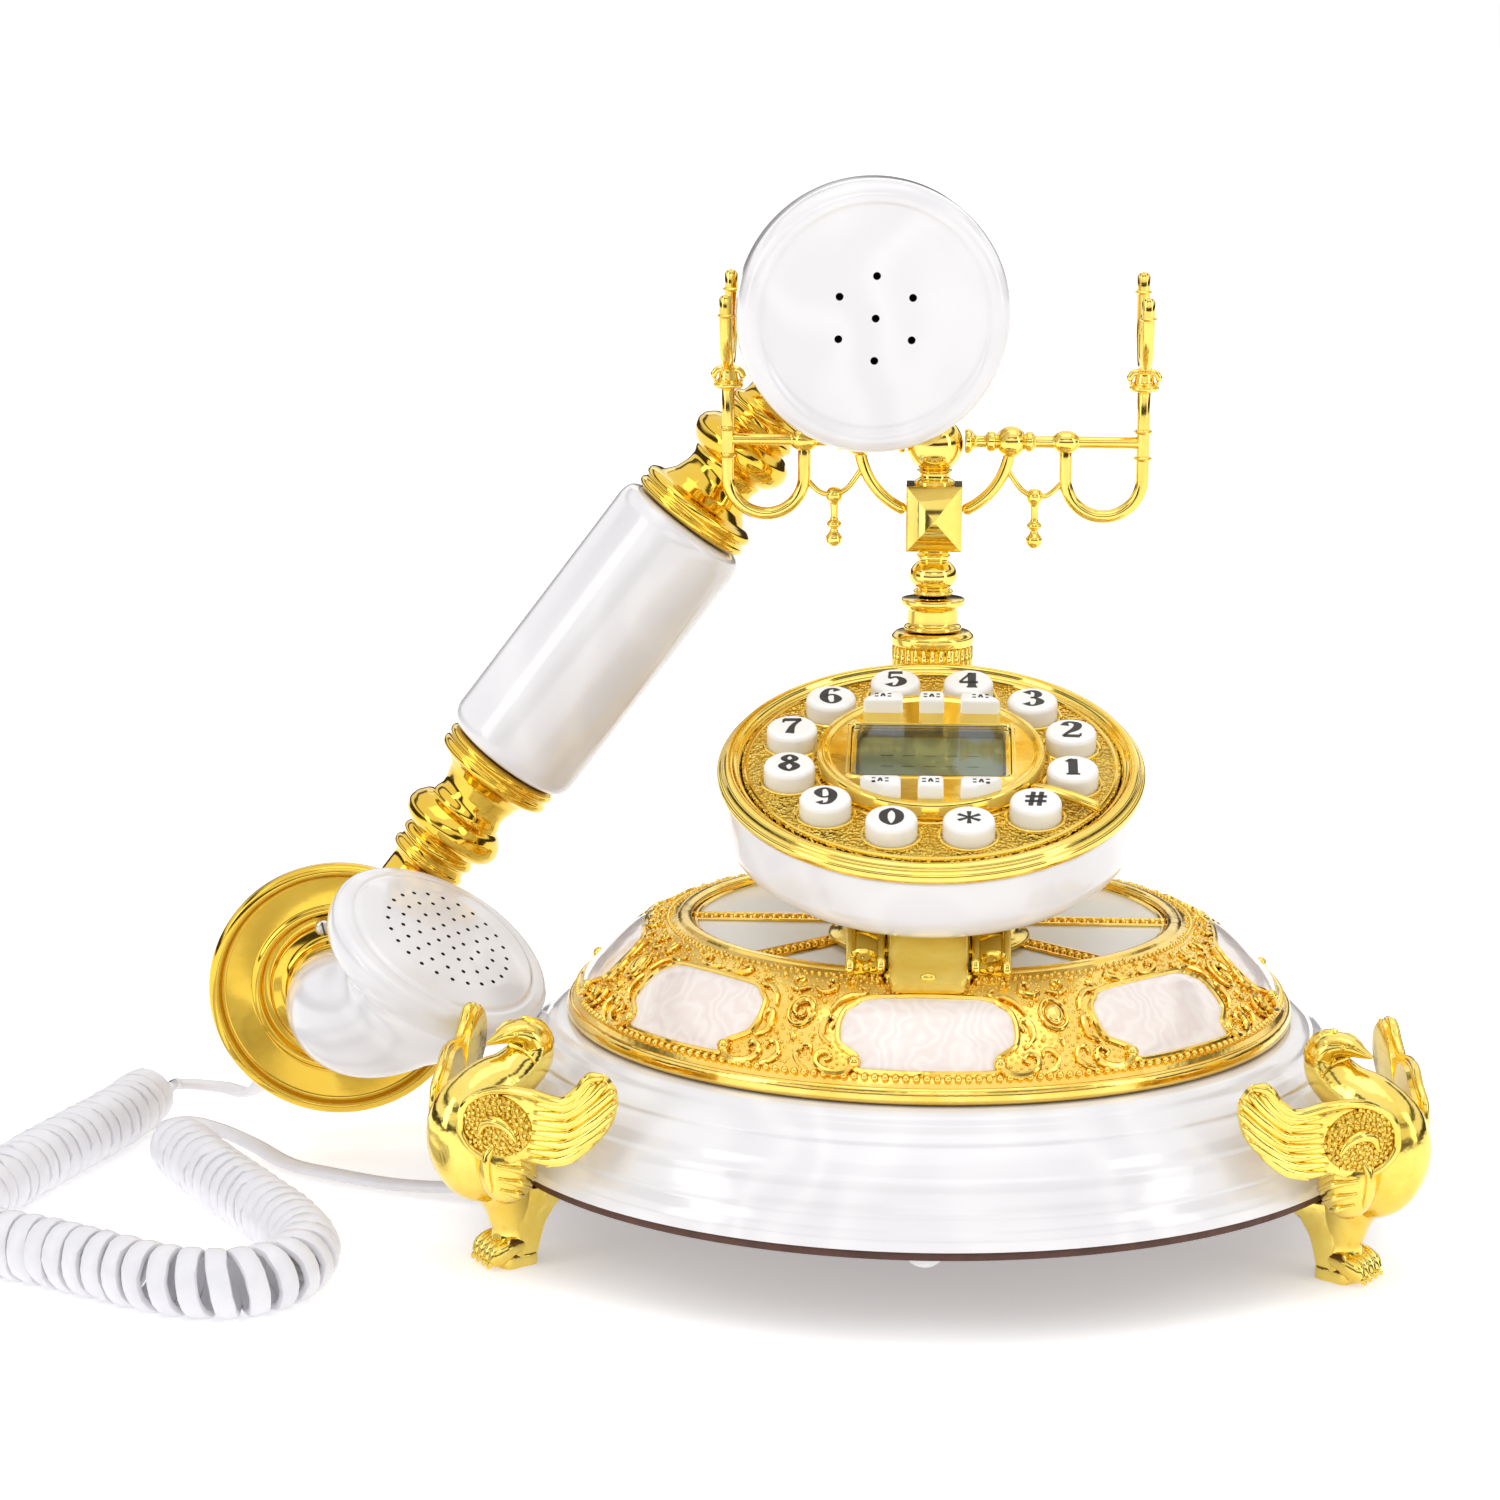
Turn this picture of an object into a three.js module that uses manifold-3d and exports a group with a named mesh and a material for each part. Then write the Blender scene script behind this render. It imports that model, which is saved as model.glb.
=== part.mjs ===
// A French-style cradle telephone: a round pearl-white base on three swan feet, an ornate gilt ring, a
// tilted push-button dial, a sprung forked cradle and a hook-shaped handset on a curly cord.
// Units are millimetres, +Z is up, the user sits on the -Y side. Each named mesh is one separate piece.
import * as THREE from 'three';
import { mergeVertices } from 'three/addons/utils/BufferGeometryUtils.js';
import Module from 'manifold-3d';

const wasm = await Module();
wasm.setup();

// ---------------------------------------------------------------- driving dimensions
const GAP = 0.3; // clearance between pieces that touch

const BASE_RADIUS = 95; // pearl base at its bottom edge
const BASE_RIM_Z = 18.5; // underside of the pearl base above the table
const BASE_HEIGHT = 23.5; // pearl base from its rim to its top
const SHELL_WALL = 2.5;
const PLATE_THICKNESS = 1.6; // brown plate that closes the base
const RING_INSET = 18.2; // how far the gilt ring stays inside the base's edge
const RING_HEIGHT = 21;
const DISC_RADIUS = 50.3; // opening of the gilt ring, filled by the pearl top disc
const DISC_THICKNESS = 2.4;

const JACK = { width: 16, height: 11, depth: 13, x: 44 }; // socket of the wall cord

const BUMPER_RADIUS = 4;
const FOOT_REACH = 2.9; // middle of a paw beyond the base's edge
const FOOT_ANGLES = { swan_foot_left: 210, swan_foot_right: 330, swan_foot_rear: 90 };

const DIAL_RADIUS = 43.6;
const DIAL_CENTRE = new THREE.Vector3(0, -21, 99.5);
const DIAL_TILT = THREE.MathUtils.degToRad(18.4);
const DRUM_DEPTH = 19.3;
const DRUM_WALL = 2;
const KEY_CIRCLE = 29.8;
const KEY_RADIUS = 5.25;
const KEY_PROUD = 3.9;
const KEY_CLEARANCE = 0.35;
const KEY_TRAVEL = 1.3;
const PLATE_TOP = -0.4; // hatched faceplate below the bezel's crown
const PLATE_WALL = 2;
const FRAME_TOP = 3.4; // raised plate round the display
const FRAME_RADIUS = 23.4;
const WINDOW = { width: 30.6, height: 19.4 };
const FUNCTION_KEY = { depth: 4, inside: 6, outside: 14.2, halfMiddle: 2.6, row: 17.8, proud: 2.6, rim: 1.3 };

const COLUMN_BEHIND_DIAL = 10.8290; // column's axis behind the dial's rear edge
const COLUMN_Y = DIAL_CENTRE.y + DIAL_RADIUS * Math.cos(DIAL_TILT) + COLUMN_BEHIND_DIAL;
const COLUMN_TOP = 118.5; // top of the knurled collar
const COLUMN_RADIUS = 5.8;
const COLLAR_RADIUS = 9;
const SLEEVE_RADIUS = 5.5;
const SLEEVE_HEIGHT = 6.9;
const POST_RADIUS = 2.6;
const BAR_RISE = 41.3; // crossbar above the collar
const FORK_SPAN = 44.6; // half distance between the forks
const LOOP_INNER = 28.1;
const BAR_RADIUS = 1.3;
const ROD_RADIUS = 1.4;
const ARC_RADIUS = 16.3;
const FORK_OPENING = 11; // half opening of a fork
const FORK_TIP = 8.4; // straight end of a fork's rear prong
const PRONG_RADIUS = 1.4;
const EAR_RISE = 29.9; // ear centre above the crossbar

const MOUTH_LEVEL = 52; // how far behind the base's axis the mouth's reach is taken
const MOUTH_REACH = 52.3953; // mouth centre beyond the base's edge at that level
const MOUTH_HEIGHT = 37.4;
const HANDSET_ROLL = THREE.MathUtils.degToRad(7.1);
const GRIP_RADIUS = 15.7;
const NECK_LENGTH = 62.1; // from the grip's end to the centre of the ear or mouth
const EAR_CAP_RADIUS = 28.9;
const EAR_CAP_FRONT = 37; // ear cap's face in front of the handle's axis
const EAR_DISC_RADIUS = 25.3;
const MOUTH_DISC_RADIUS = 28.9;
const HORN_RADIUS = 25.4;
const CAP_WALL = 2.2;

const CORD_WIDTH = 4.4;
const COIL_RADIUS = 7;

// ---------------------------------------------------------------- materials
const finish = (color, roughness, metalness = 0, extra = {}) =>
  new THREE.MeshStandardMaterial({ color, roughness, metalness, ...extra });
const GOLD = finish(0xf0c454, 0.15, 1);
const SATIN_GOLD = finish(0xe3b548, 0.35, 1);
const HANDSET_GOLD = finish(0xdca92a, 0.12, 1);
const PEARL = finish(0xeeeaee, 0.25);
const DISC_PEARL = finish(0xdcd8d2, 0.25);
const BROWN = finish(0x4a2a20, 0.5);
const KEY_WHITE = finish(0xf6f4f1, 0.3);
const LENS = finish(0xaab59a, 0.05, 0, { transparent: true, opacity: 0.4 });
const LCD = finish(0x7d8a6c, 0.3);
const BOARD = finish(0x2f6b45, 0.6);
const DARK = finish(0x26262a, 0.5);
const RUBBER = finish(0xd9dbdc, 0.2, 0, { transparent: true, opacity: 0.6 });
const CORD = finish(0xe8e6e8, 0.45);

// ---------------------------------------------------------------- geometry helpers
const FACET_SHARE = 0.5; // coarser or finer round surfaces everywhere
const facets = (count) => Math.max(6, 2 * Math.round((count * FACET_SHARE) / 2));

const V2 = (x, y) => new THREE.Vector2(x, y);
const V3 = (x, y, z) => new THREE.Vector3(x, y, z);
const turn = THREE.MathUtils.degToRad;

/** Turns a closed three.js geometry into a solid, with its faces pointing out. */
function solid(geometry) {
  const bare = geometry.clone();
  bare.deleteAttribute('normal');
  bare.deleteAttribute('uv');
  const merged = mergeVertices(bare, 1e-4);
  const at = merged.attributes.position;
  const corners = [];
  let volume = 0;
  for (let i = 0; i < merged.index.count; i += 3) {
    const [a, b, c] = [0, 1, 2].map((k) => merged.index.getX(i + k));
    if (a === b || b === c || c === a) continue;
    const [p, q, r] = [a, b, c].map((k) => V3().fromBufferAttribute(at, k));
    volume += p.dot(q.cross(r));
    corners.push([a, b, c]);
  }
  const outward = volume < 0 ? corners.map(([a, b, c]) => [a, c, b]) : corners;
  return new wasm.Manifold(
    new wasm.Mesh({
      numProp: 3,
      vertProperties: new Float32Array(at.array),
      triVerts: new Uint32Array(outward.flat()),
    }),
  );
}

/** Turns a solid back into a geometry for a mesh. */
function geometryOf(body) {
  const shape = body.getMesh();
  const geometry = new THREE.BufferGeometry();
  geometry.setAttribute('position', new THREE.BufferAttribute(shape.vertProperties, 3));
  geometry.setIndex(new THREE.BufferAttribute(shape.triVerts, 1));
  return geometry;
}

const join = (...bodies) => bodies.reduce((a, b) => a.add(b));
const cut = (body, ...tools) => tools.reduce((a, b) => a.subtract(b), body);
const placed = (body, matrix) => body.transform(matrix.elements);
const moved = (body, x, y, z) => body.translate([x, y, z]);

/** Revolves a closed outline of [radius, height] points about Z. */
function lathe(outline, segments = 48) {
  const points = outline.map(([r, z]) => V2(r, z));
  const onAxis = outline[0][0] === 0 && outline[outline.length - 1][0] === 0;
  if (!onAxis) points.push(points[0].clone());
  return solid(new THREE.LatheGeometry(points, facets(segments)).rotateX(Math.PI / 2));
}

/** Revolves about the direction that a handset's face looks in (-Y). */
const latheForward = (outline, segments) => lathe(outline, segments).rotate([90, 0, 0]);

const cylinder = (radius, z0, z1, segments = 24) =>
  lathe([[0, z0], [radius, z0], [radius, z1], [0, z1]], segments);

const box = (x, y, z, cx, cy, cz) => solid(new THREE.BoxGeometry(x, y, z).translate(cx, cy, cz));

const ball = (radius, x, y, z, squash = 1, segments = 12) =>
  solid(new THREE.SphereGeometry(radius, facets(segments), facets(segments) / 2).scale(1, 1, squash).translate(x, y, z));

/** A rectangle with round corners, standing from z0 to z1. */
function roundedBox(width, height, corner, z0, z1) {
  const shape = new THREE.Shape();
  const [w, h] = [width / 2, height / 2];
  shape.moveTo(corner - w, -h);
  shape.lineTo(w - corner, -h);
  shape.quadraticCurveTo(w, -h, w, corner - h);
  shape.lineTo(w, h - corner);
  shape.quadraticCurveTo(w, h, w - corner, h);
  shape.lineTo(corner - w, h);
  shape.quadraticCurveTo(-w, h, -w, h - corner);
  shape.lineTo(-w, corner - h);
  shape.quadraticCurveTo(-w, -h, corner - w, -h);
  const slab = new THREE.ExtrudeGeometry(shape, { depth: z1 - z0, bevelEnabled: false, curveSegments: 2 });
  return solid(slab.translate(0, 0, z0));
}

/** A round rod along a curve. */
function rod(curve, radius, steps, sides = 8) {
  const section = new THREE.Shape();
  section.absarc(0, 0, radius, 0, 2 * Math.PI);
  const options = { steps, extrudePath: curve, curveSegments: sides / 2, bevelEnabled: false };
  return solid(new THREE.ExtrudeGeometry(section, options));
}

const smooth = (points, tension = 0.5) =>
  new THREE.CatmullRomCurve3(points.map((p) => V3(...p)), false, 'catmullrom', tension);

/** A straight rod between two points. */
const bar = (a, b, radius, sides = 8) => rod(new THREE.LineCurve3(V3(...a), V3(...b)), radius, 1, sides);

/**
 * A body swept through oval sections. Each section is [centre, half width, half height]; the width is
 * taken along `side`, and the height across both the path and `side`.
 */
function loft(sections, side, fullSides = 14) {
  const sides = facets(fullSides);
  const vertices = [];
  const faces = [];
  sections.forEach(([centre, width, height], i) => {
    const before = V3(...sections[Math.max(i - 1, 0)][0]);
    const after = V3(...sections[Math.min(i + 1, sections.length - 1)][0]);
    const along = after.sub(before).normalize();
    const up = V3().crossVectors(side, along).normalize();
    const across = V3().crossVectors(along, up).normalize();
    for (let k = 0; k < sides; k += 1) {
      const angle = (2 * Math.PI * k) / sides;
      const point = V3(...centre);
      point.addScaledVector(across, width * Math.cos(angle));
      point.addScaledVector(up, height * Math.sin(angle));
      vertices.push(...point.toArray());
    }
  });
  for (let i = 0; i + 1 < sections.length; i += 1) {
    for (let k = 0; k < sides; k += 1) {
      const [a, b] = [i * sides + k, i * sides + ((k + 1) % sides)];
      faces.push(a, b, b + sides, a, b + sides, a + sides);
    }
  }
  const last = (sections.length - 1) * sides;
  for (let k = 1; k + 1 < sides; k += 1) {
    faces.push(0, k + 1, k, last, last + k, last + k + 1);
  }
  const geometry = new THREE.BufferGeometry();
  geometry.setAttribute('position', new THREE.Float32BufferAttribute(vertices, 3));
  geometry.setIndex(faces);
  return solid(geometry);
}

// ---------------------------------------------------------------- the scene graph
const phone = new THREE.Group();
const dial = new THREE.Group();
const cradle = new THREE.Group();
const handset = new THREE.Group();

/** Adds one named piece to a group. */
function piece(group, name, body, material) {
  const mesh = new THREE.Mesh(geometryOf(body), material);
  mesh.name = name;
  group.add(mesh);
  return mesh;
}

// ---------------------------------------------------------------- base
const BASE_TOP = BASE_RIM_Z + BASE_HEIGHT;
const RING_RADIUS = BASE_RADIUS - RING_INSET;
const RING_Z = BASE_TOP + GAP;
const RING_TOP = RING_Z + RING_HEIGHT;
const DISC_TOP = RING_TOP - 1.3;
const DISC_BOTTOM = DISC_TOP - DISC_THICKNESS;
const JACK_FRONT = Math.sqrt((BASE_RADIUS - 5) ** 2 - (JACK.x + JACK.width / 2) ** 2);
const JACK_Z = BASE_RIM_Z + 8;
const SWITCH_TOP = DISC_BOTTOM - 4;
const MAIN_BOARD = { width: 70, depth: 76, thickness: 1.6, y: 2, z: DISC_BOTTOM - 14 };

/** The pearl base's outside, from the rim up: an ogee in faint steps. `out` moves it outwards. */
const baseOutside = (out = 0) => [
  [BASE_RADIUS + out, BASE_RIM_Z - out],
  [BASE_RADIUS + out, BASE_RIM_Z + 2.6 + out],
  [BASE_RADIUS - 2.4 + out, BASE_RIM_Z + 6 + out],
  [BASE_RADIUS - 4.6 + out, BASE_RIM_Z + 11 + out],
  [BASE_RADIUS - 9.4 + out, BASE_RIM_Z + 17.4 + out],
  [BASE_RADIUS - 13.6 + out, BASE_RIM_Z + 21 + out],
  [BASE_RADIUS - 17.8 + out, BASE_TOP + out],
];

function baseShell() {
  const inside = [
    [58, BASE_TOP],
    [58, BASE_TOP - SHELL_WALL],
    [BASE_RADIUS - 19, BASE_TOP - SHELL_WALL],
    [BASE_RADIUS - 12, BASE_RIM_Z + 15],
    [BASE_RADIUS - SHELL_WALL - 2, BASE_RIM_Z + 4],
    [BASE_RADIUS - SHELL_WALL, BASE_RIM_Z],
  ];
  const shell = lathe([...baseOutside(), ...inside], 56);
  const notch = box(JACK.width + 2 * GAP, 50, JACK.height + 2 * GAP, JACK.x, JACK_FRONT, JACK_Z);
  return cut(shell, notch);
}

/** The socket for the wall cord, facing backwards beside the rear foot. */
function lineJack() {
  const body = box(JACK.width, JACK.depth, JACK.height, JACK.x, JACK_FRONT - JACK.depth / 2, JACK_Z);
  const socket = box(JACK.width - 5, JACK.depth, JACK.height - 4, JACK.x, JACK_FRONT - 3, JACK_Z);
  return cut(body, socket);
}

/** The gilt ring: a flat lip, then a dome that rises to the rim of the top disc, with a ledge inside. */
const ringOutside = (out = 0) => [
  [RING_RADIUS + out, RING_Z - out],
  [RING_RADIUS + out, RING_Z + 3 + out],
  [RING_RADIUS - 2.6 + out, RING_Z + 4.4 + out],
  [RING_RADIUS - 6.6 + out, RING_Z + 9.4 + out],
  [RING_RADIUS - 13 + out, RING_Z + 15.4 + out],
  [(RING_RADIUS + DISC_RADIUS) / 2 - 6.4 + out, RING_TOP - 1.6 + out],
  [DISC_RADIUS + 1.6 + out, RING_TOP + out],
  [DISC_RADIUS - out, RING_TOP + out],
];

function ornateRing() {
  const inside = [
    [DISC_RADIUS, DISC_BOTTOM - GAP],
    [DISC_RADIUS - 3, DISC_BOTTOM - GAP],
    [DISC_RADIUS - 3, DISC_BOTTOM - 2.2],
    [(RING_RADIUS + DISC_RADIUS) / 2 - 6.4, RING_TOP - 5],
    [RING_RADIUS - 14.4, RING_Z + 12.6],
    [RING_RADIUS - 8.4, RING_Z + 6.4],
    [RING_RADIUS - 5, RING_Z],
  ];
  return lathe([...ringOutside(), ...inside], 48);
}

function topDisc() {
  const disc = cylinder(DISC_RADIUS - GAP, DISC_BOTTOM, DISC_TOP, 48);
  return cut(disc, moved(cylinder(POST_RADIUS + 0.8, DISC_BOTTOM - 1, DISC_TOP + 1, 16), 0, COLUMN_Y, 0));
}

const PLATE_TOP_Z = BASE_RIM_Z - GAP;
const PLATE_BOTTOM_Z = PLATE_TOP_Z - PLATE_THICKNESS;
piece(phone, 'base_shell', baseShell(), PEARL);
piece(phone, 'bottom_plate', cylinder(BASE_RADIUS - 0.8, PLATE_BOTTOM_Z, PLATE_TOP_Z, 56), BROWN);
piece(phone, 'ornate_ring', ornateRing(), SATIN_GOLD);
piece(phone, 'top_disc', topDisc(), DISC_PEARL);
piece(phone, 'line_jack', lineJack(), DARK);

/** The clear bumper under the front of the plate. */
function bumper() {
  const pad = lathe([[0, -3.4], [2.6, -2.6], [BUMPER_RADIUS, 0], [0, 0]], 16);
  return moved(pad, 0, 9 - BASE_RADIUS, PLATE_BOTTOM_Z - GAP);
}

function mainBoard() {
  const { width, depth, thickness, y, z } = MAIN_BOARD;
  return box(width, depth, thickness, 0, y, z - thickness / 2);
}

function hookSwitch() {
  const bottom = MAIN_BOARD.z + GAP;
  return box(12, 8, SWITCH_TOP - bottom, 0, COLUMN_Y, (SWITCH_TOP + bottom) / 2);
}

piece(phone, 'clear_bumper', bumper(), RUBBER);
piece(phone, 'main_board', mainBoard(), BOARD);
piece(phone, 'hook_switch', hookSwitch(), DARK);

// ---------------------------------------------------------------- swan feet
const PAW_TOES = [-4.6, -1.6, 1.6, 4.6];

/** One swan in its own frame: +X is outwards from the base's axis, and x = 0 is the middle of the paw. */
function swan() {
  const body = loft(
    [
      [[-4.5, 0, 24], 4.5, 4],
      [[1, 0, 24.5], 7.4, 7.4],
      [[8, 0, 26.5], 8.4, 9],
      [[13.6, 0, 31.5], 6.4, 6.8],
      [[12.6, 0, 37], 4.7, 4.6],
      [[7.4, 0, 41.2], 3.9, 3.9],
      [[1.6, 0, 43.6], 3.5, 3.6],
      [[-1.4, 0, 47.2], 3.7, 3.9],
      [[1.2, 0, 50], 3.2, 3.3],
      [[4.6, 0, 49], 1.6, 1.8],
      [[6.6, 0, 46.6], 0.5, 0.6],
    ],
    V3(0, 1, 0),
    12,
  );
  const leg = loft(
    [
      [[2, 0, 24], 6.2, 7],
      [[0.5, 0, 17], 4.6, 5.4],
      [[0.8, 0, 10], 3, 3.4],
      [[1, 0, 3], 3.8, 4.4],
    ],
    V3(0, 1, 0),
    10,
  );
  const wing = (hand) =>
    loft(
      [
        [[8, hand * 5, 28.5], 3, 7],
        [[4.6, hand * 11.5, 28.5], 2.7, 7],
        [[0.6, hand * 18, 29.5], 2, 6.6],
        [[-3.2, hand * 24, 33], 1.5, 4.6],
        [[-6.2, hand * 28.6, 37.5], 1.1, 2.4],
        [[-7.4, hand * 30, 40.4], 0.5, 0.8],
      ],
      V3(1, hand * 0.3, 0).normalize(),
      10,
    );
  const sole = new THREE.Shape();
  sole.moveTo(-6.6, -3.6);
  sole.quadraticCurveTo(-8, 0, -6.6, 3.6);
  sole.quadraticCurveTo(0, 5.4, 3.4, 6.6);
  sole.lineTo(3.4, -6.6);
  sole.quadraticCurveTo(0, -5.4, -6.6, -3.6);
  const pad = solid(new THREE.ExtrudeGeometry(sole, { depth: 4, bevelEnabled: false, curveSegments: 4 }));
  const toes = PAW_TOES.map((y) =>
    loft([[[1, y, 2.4], 1.9, 2.4], [[5, y, 2.6], 1.9, 2.6], [[6.8, y, 1.7], 1.2, 1.7]], V3(0, 1, 0), 8),
  );
  const web = box(19, 8, 5, -8, 0, PLATE_BOTTOM_Z - GAP - 2.5);
  return join(body, leg, wing(1), wing(-1), pad, ...toes, web);
}

/** The space that the base takes up, with the clearance round it. */
function baseEnvelope() {
  const outline = [[0, PLATE_BOTTOM_Z - GAP], [BASE_RADIUS + GAP, PLATE_BOTTOM_Z - GAP]];
  return lathe([...outline, ...baseOutside(GAP).slice(1), [0, BASE_TOP + GAP]], 56);
}

function swanFeet() {
  const envelope = baseEnvelope();
  const floor = box(400, 400, 20, 0, 0, -10);
  const bird = moved(swan(), BASE_RADIUS + FOOT_REACH, 0, 0);
  for (const [name, angle] of Object.entries(FOOT_ANGLES)) {
    piece(phone, name, cut(bird.rotate([0, 0, angle]), envelope, floor), GOLD);
  }
}
swanFeet();

// ---------------------------------------------------------------- dial
dial.position.copy(DIAL_CENTRE);
dial.rotation.x = DIAL_TILT;
dial.updateMatrix();

const HOUSING_TOP = -3.2;
const HOUSING_RADIUS = DIAL_RADIUS - 0.6;

const housingOutside = (out = 0) => [
  [HOUSING_RADIUS + out, HOUSING_TOP + out],
  [HOUSING_RADIUS + out, -13.4],
  [HOUSING_RADIUS - 1.4 + out, -16.4 - out / 2],
  [HOUSING_RADIUS - 5 + out, -18.6 - out],
  [HOUSING_RADIUS - 10, -DRUM_DEPTH - out],
];

function drumHousing() {
  const inner = HOUSING_RADIUS - DRUM_WALL;
  return lathe(
    [
      ...housingOutside(),
      [6, -DRUM_DEPTH],
      [6, DRUM_WALL - DRUM_DEPTH],
      [inner - 6, DRUM_WALL - DRUM_DEPTH],
      [inner - 1, -14.6],
      [inner, -12.6],
      [inner, HOUSING_TOP],
    ],
    44,
  );
}

function bezel() {
  return lathe(
    [
      [HOUSING_RADIUS - DRUM_WALL, HOUSING_TOP + GAP],
      [DIAL_RADIUS, HOUSING_TOP + GAP],
      [DIAL_RADIUS + 0.4, -1.6],
      [DIAL_RADIUS - 0.2, 0],
      [DIAL_RADIUS - 1.6, 0.8],
      [DIAL_RADIUS - 3.4, 0.2],
      [DIAL_RADIUS - 4.6, PLATE_TOP + 0.2],
      [DIAL_RADIUS - 4.6, HOUSING_TOP + GAP],
    ],
    44,
  );
}

// The twelve keys run anticlockwise from the one on the right, just below the middle.
const KEY_NAMES = ['1', '2', '3', '4', '5', '6', '7', '8', '9', '0', 'star', 'hash'];
const keyAngle = (i) => turn(-15 + 30 * i);
const keyPlace = (i) => [KEY_CIRCLE * Math.cos(keyAngle(i)), KEY_CIRCLE * Math.sin(keyAngle(i))];

/** The rows of three keys in front of the display and behind it, mirrored about its middle. */
const FUNCTION_KEYS = [['top', 1], ['bottom', -1]].flatMap(([row, way]) => [
  { name: `function_key_${row}_left`, side: -1, way },
  { name: `function_key_${row}_middle`, side: 0, way },
  { name: `function_key_${row}_right`, side: 1, way },
]);

const PLATE_RADIUS = DIAL_RADIUS - 4.6 - GAP;
const PLATE_BOTTOM = PLATE_TOP - PLATE_WALL;
const BOARD_TOP = -7.2;
const KEY_BOTTOM = BOARD_TOP + KEY_TRAVEL + 0.4;

/** A function key's solid: the outer keys end in an arc beside the frame's rim. `out` widens it. */
function functionKey({ side, way }, z0, z1, out = 0) {
  const { depth, inside, outside, halfMiddle, row, rim } = FUNCTION_KEY;
  const [near, far] = [row - depth / 2 - out, row + depth / 2 + out];
  const [left, right] = side === 0 ? [-halfMiddle - out, halfMiddle + out] : [inside - out, outside + out];
  const reach = FRAME_RADIUS - rim - KEY_CLEARANCE + out;
  const shape = new THREE.Shape();
  shape.moveTo(left, near);
  for (let k = 0; k <= 4; k += 1) {
    const y = near + ((far - near) * k) / 4;
    shape.lineTo(Math.min(right, Math.sqrt(reach ** 2 - y ** 2)), y);
  }
  shape.lineTo(left, far);
  const slab = new THREE.ExtrudeGeometry(shape, { depth: z1 - z0, bevelEnabled: false });
  return solid(slab.translate(0, 0, z0).scale(side || 1, way, 1));
}

/** The slots of the function keys, cut through anything from z0 to z1. */
const functionSlots = (z0, z1) => FUNCTION_KEYS.map((key) => functionKey(key, z0, z1, KEY_CLEARANCE));

function faceplate() {
  const holes = KEY_NAMES.map((_, i) =>
    moved(cylinder(KEY_RADIUS + KEY_CLEARANCE, PLATE_BOTTOM - 1, PLATE_TOP + 1, 16), ...keyPlace(i), 0),
  );
  const opening = roundedBox(WINDOW.width, WINDOW.height, 1, PLATE_BOTTOM - 1, PLATE_TOP + 1);
  const slots = functionSlots(PLATE_BOTTOM - 1, PLATE_TOP + 1);
  const plate = cut(cylinder(PLATE_RADIUS, PLATE_BOTTOM, PLATE_TOP, 44), opening, ...holes, ...slots);
  const stopLength = PLATE_RADIUS - FRAME_RADIUS - 1.2;
  const stopMiddle = FRAME_RADIUS + 0.8 + stopLength / 2;
  const stop = box(stopLength, 1.8, 3, stopMiddle, 0, PLATE_TOP + 1.2).rotate([0, 0, -30]);
  return join(plate, stop);
}

function displayFrame() {
  const frameBottom = PLATE_TOP + GAP;
  const profile = [
    [0, frameBottom],
    [FRAME_RADIUS, frameBottom],
    [FRAME_RADIUS, FRAME_TOP - 0.6],
    [FRAME_RADIUS - 0.9, FRAME_TOP],
    [FRAME_RADIUS - 2, FRAME_TOP - 0.5],
    [0, FRAME_TOP - 0.5],
  ];
  const rim = { width: WINDOW.width + 2, height: WINDOW.height + 2 };
  const rebate = roundedBox(rim.width, rim.height, 1, FRAME_TOP - 1.6, FRAME_TOP + 1);
  const opening = roundedBox(WINDOW.width, WINDOW.height, 1, frameBottom - 1, FRAME_TOP);
  return cut(lathe(profile, 40), rebate, opening, ...functionSlots(frameBottom - 1, FRAME_TOP + 1));
}

/** A key as a cap on a slightly narrower stem, standing at the middle of its own frame. */
const KEY_BODY = lathe(
  [
    [0, KEY_BOTTOM],
    [KEY_RADIUS, KEY_BOTTOM],
    [KEY_RADIUS, KEY_PROUD - 0.9],
    [KEY_RADIUS - 0.8, KEY_PROUD - 0.1],
    [0, KEY_PROUD],
  ],
  16,
);

function dialPieces() {
  piece(dial, 'drum_housing', drumHousing(), PEARL);
  piece(dial, 'bezel', bezel(), GOLD);
  piece(dial, 'faceplate', faceplate(), SATIN_GOLD);
  piece(dial, 'display_frame', displayFrame(), GOLD);
  const lensSize = [WINDOW.width + 2 - 2 * GAP, WINDOW.height + 2 - 2 * GAP, 1];
  const lensBottom = FRAME_TOP - 1.6 + GAP;
  piece(dial, 'display_lens', roundedBox(...lensSize, lensBottom, lensBottom + 0.8), LENS);
  const moduleSize = [WINDOW.width - 2 * GAP, WINDOW.height - 2 * GAP, 0.6];
  piece(dial, 'display_module', roundedBox(...moduleSize, BOARD_TOP + GAP, 0.2), LCD);
  piece(dial, 'keypad_board', cylinder(PLATE_RADIUS - 1, BOARD_TOP - 1.6, BOARD_TOP, 32), BOARD);
  KEY_NAMES.forEach((name, i) => {
    piece(dial, `key_${name}`, KEY_BODY, KEY_WHITE).position.set(...keyPlace(i), 0);
  });
  for (const key of FUNCTION_KEYS) {
    piece(dial, key.name, functionKey(key, KEY_BOTTOM, FRAME_TOP + FUNCTION_KEY.proud), KEY_WHITE);
  }
}
dialPieces();

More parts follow.
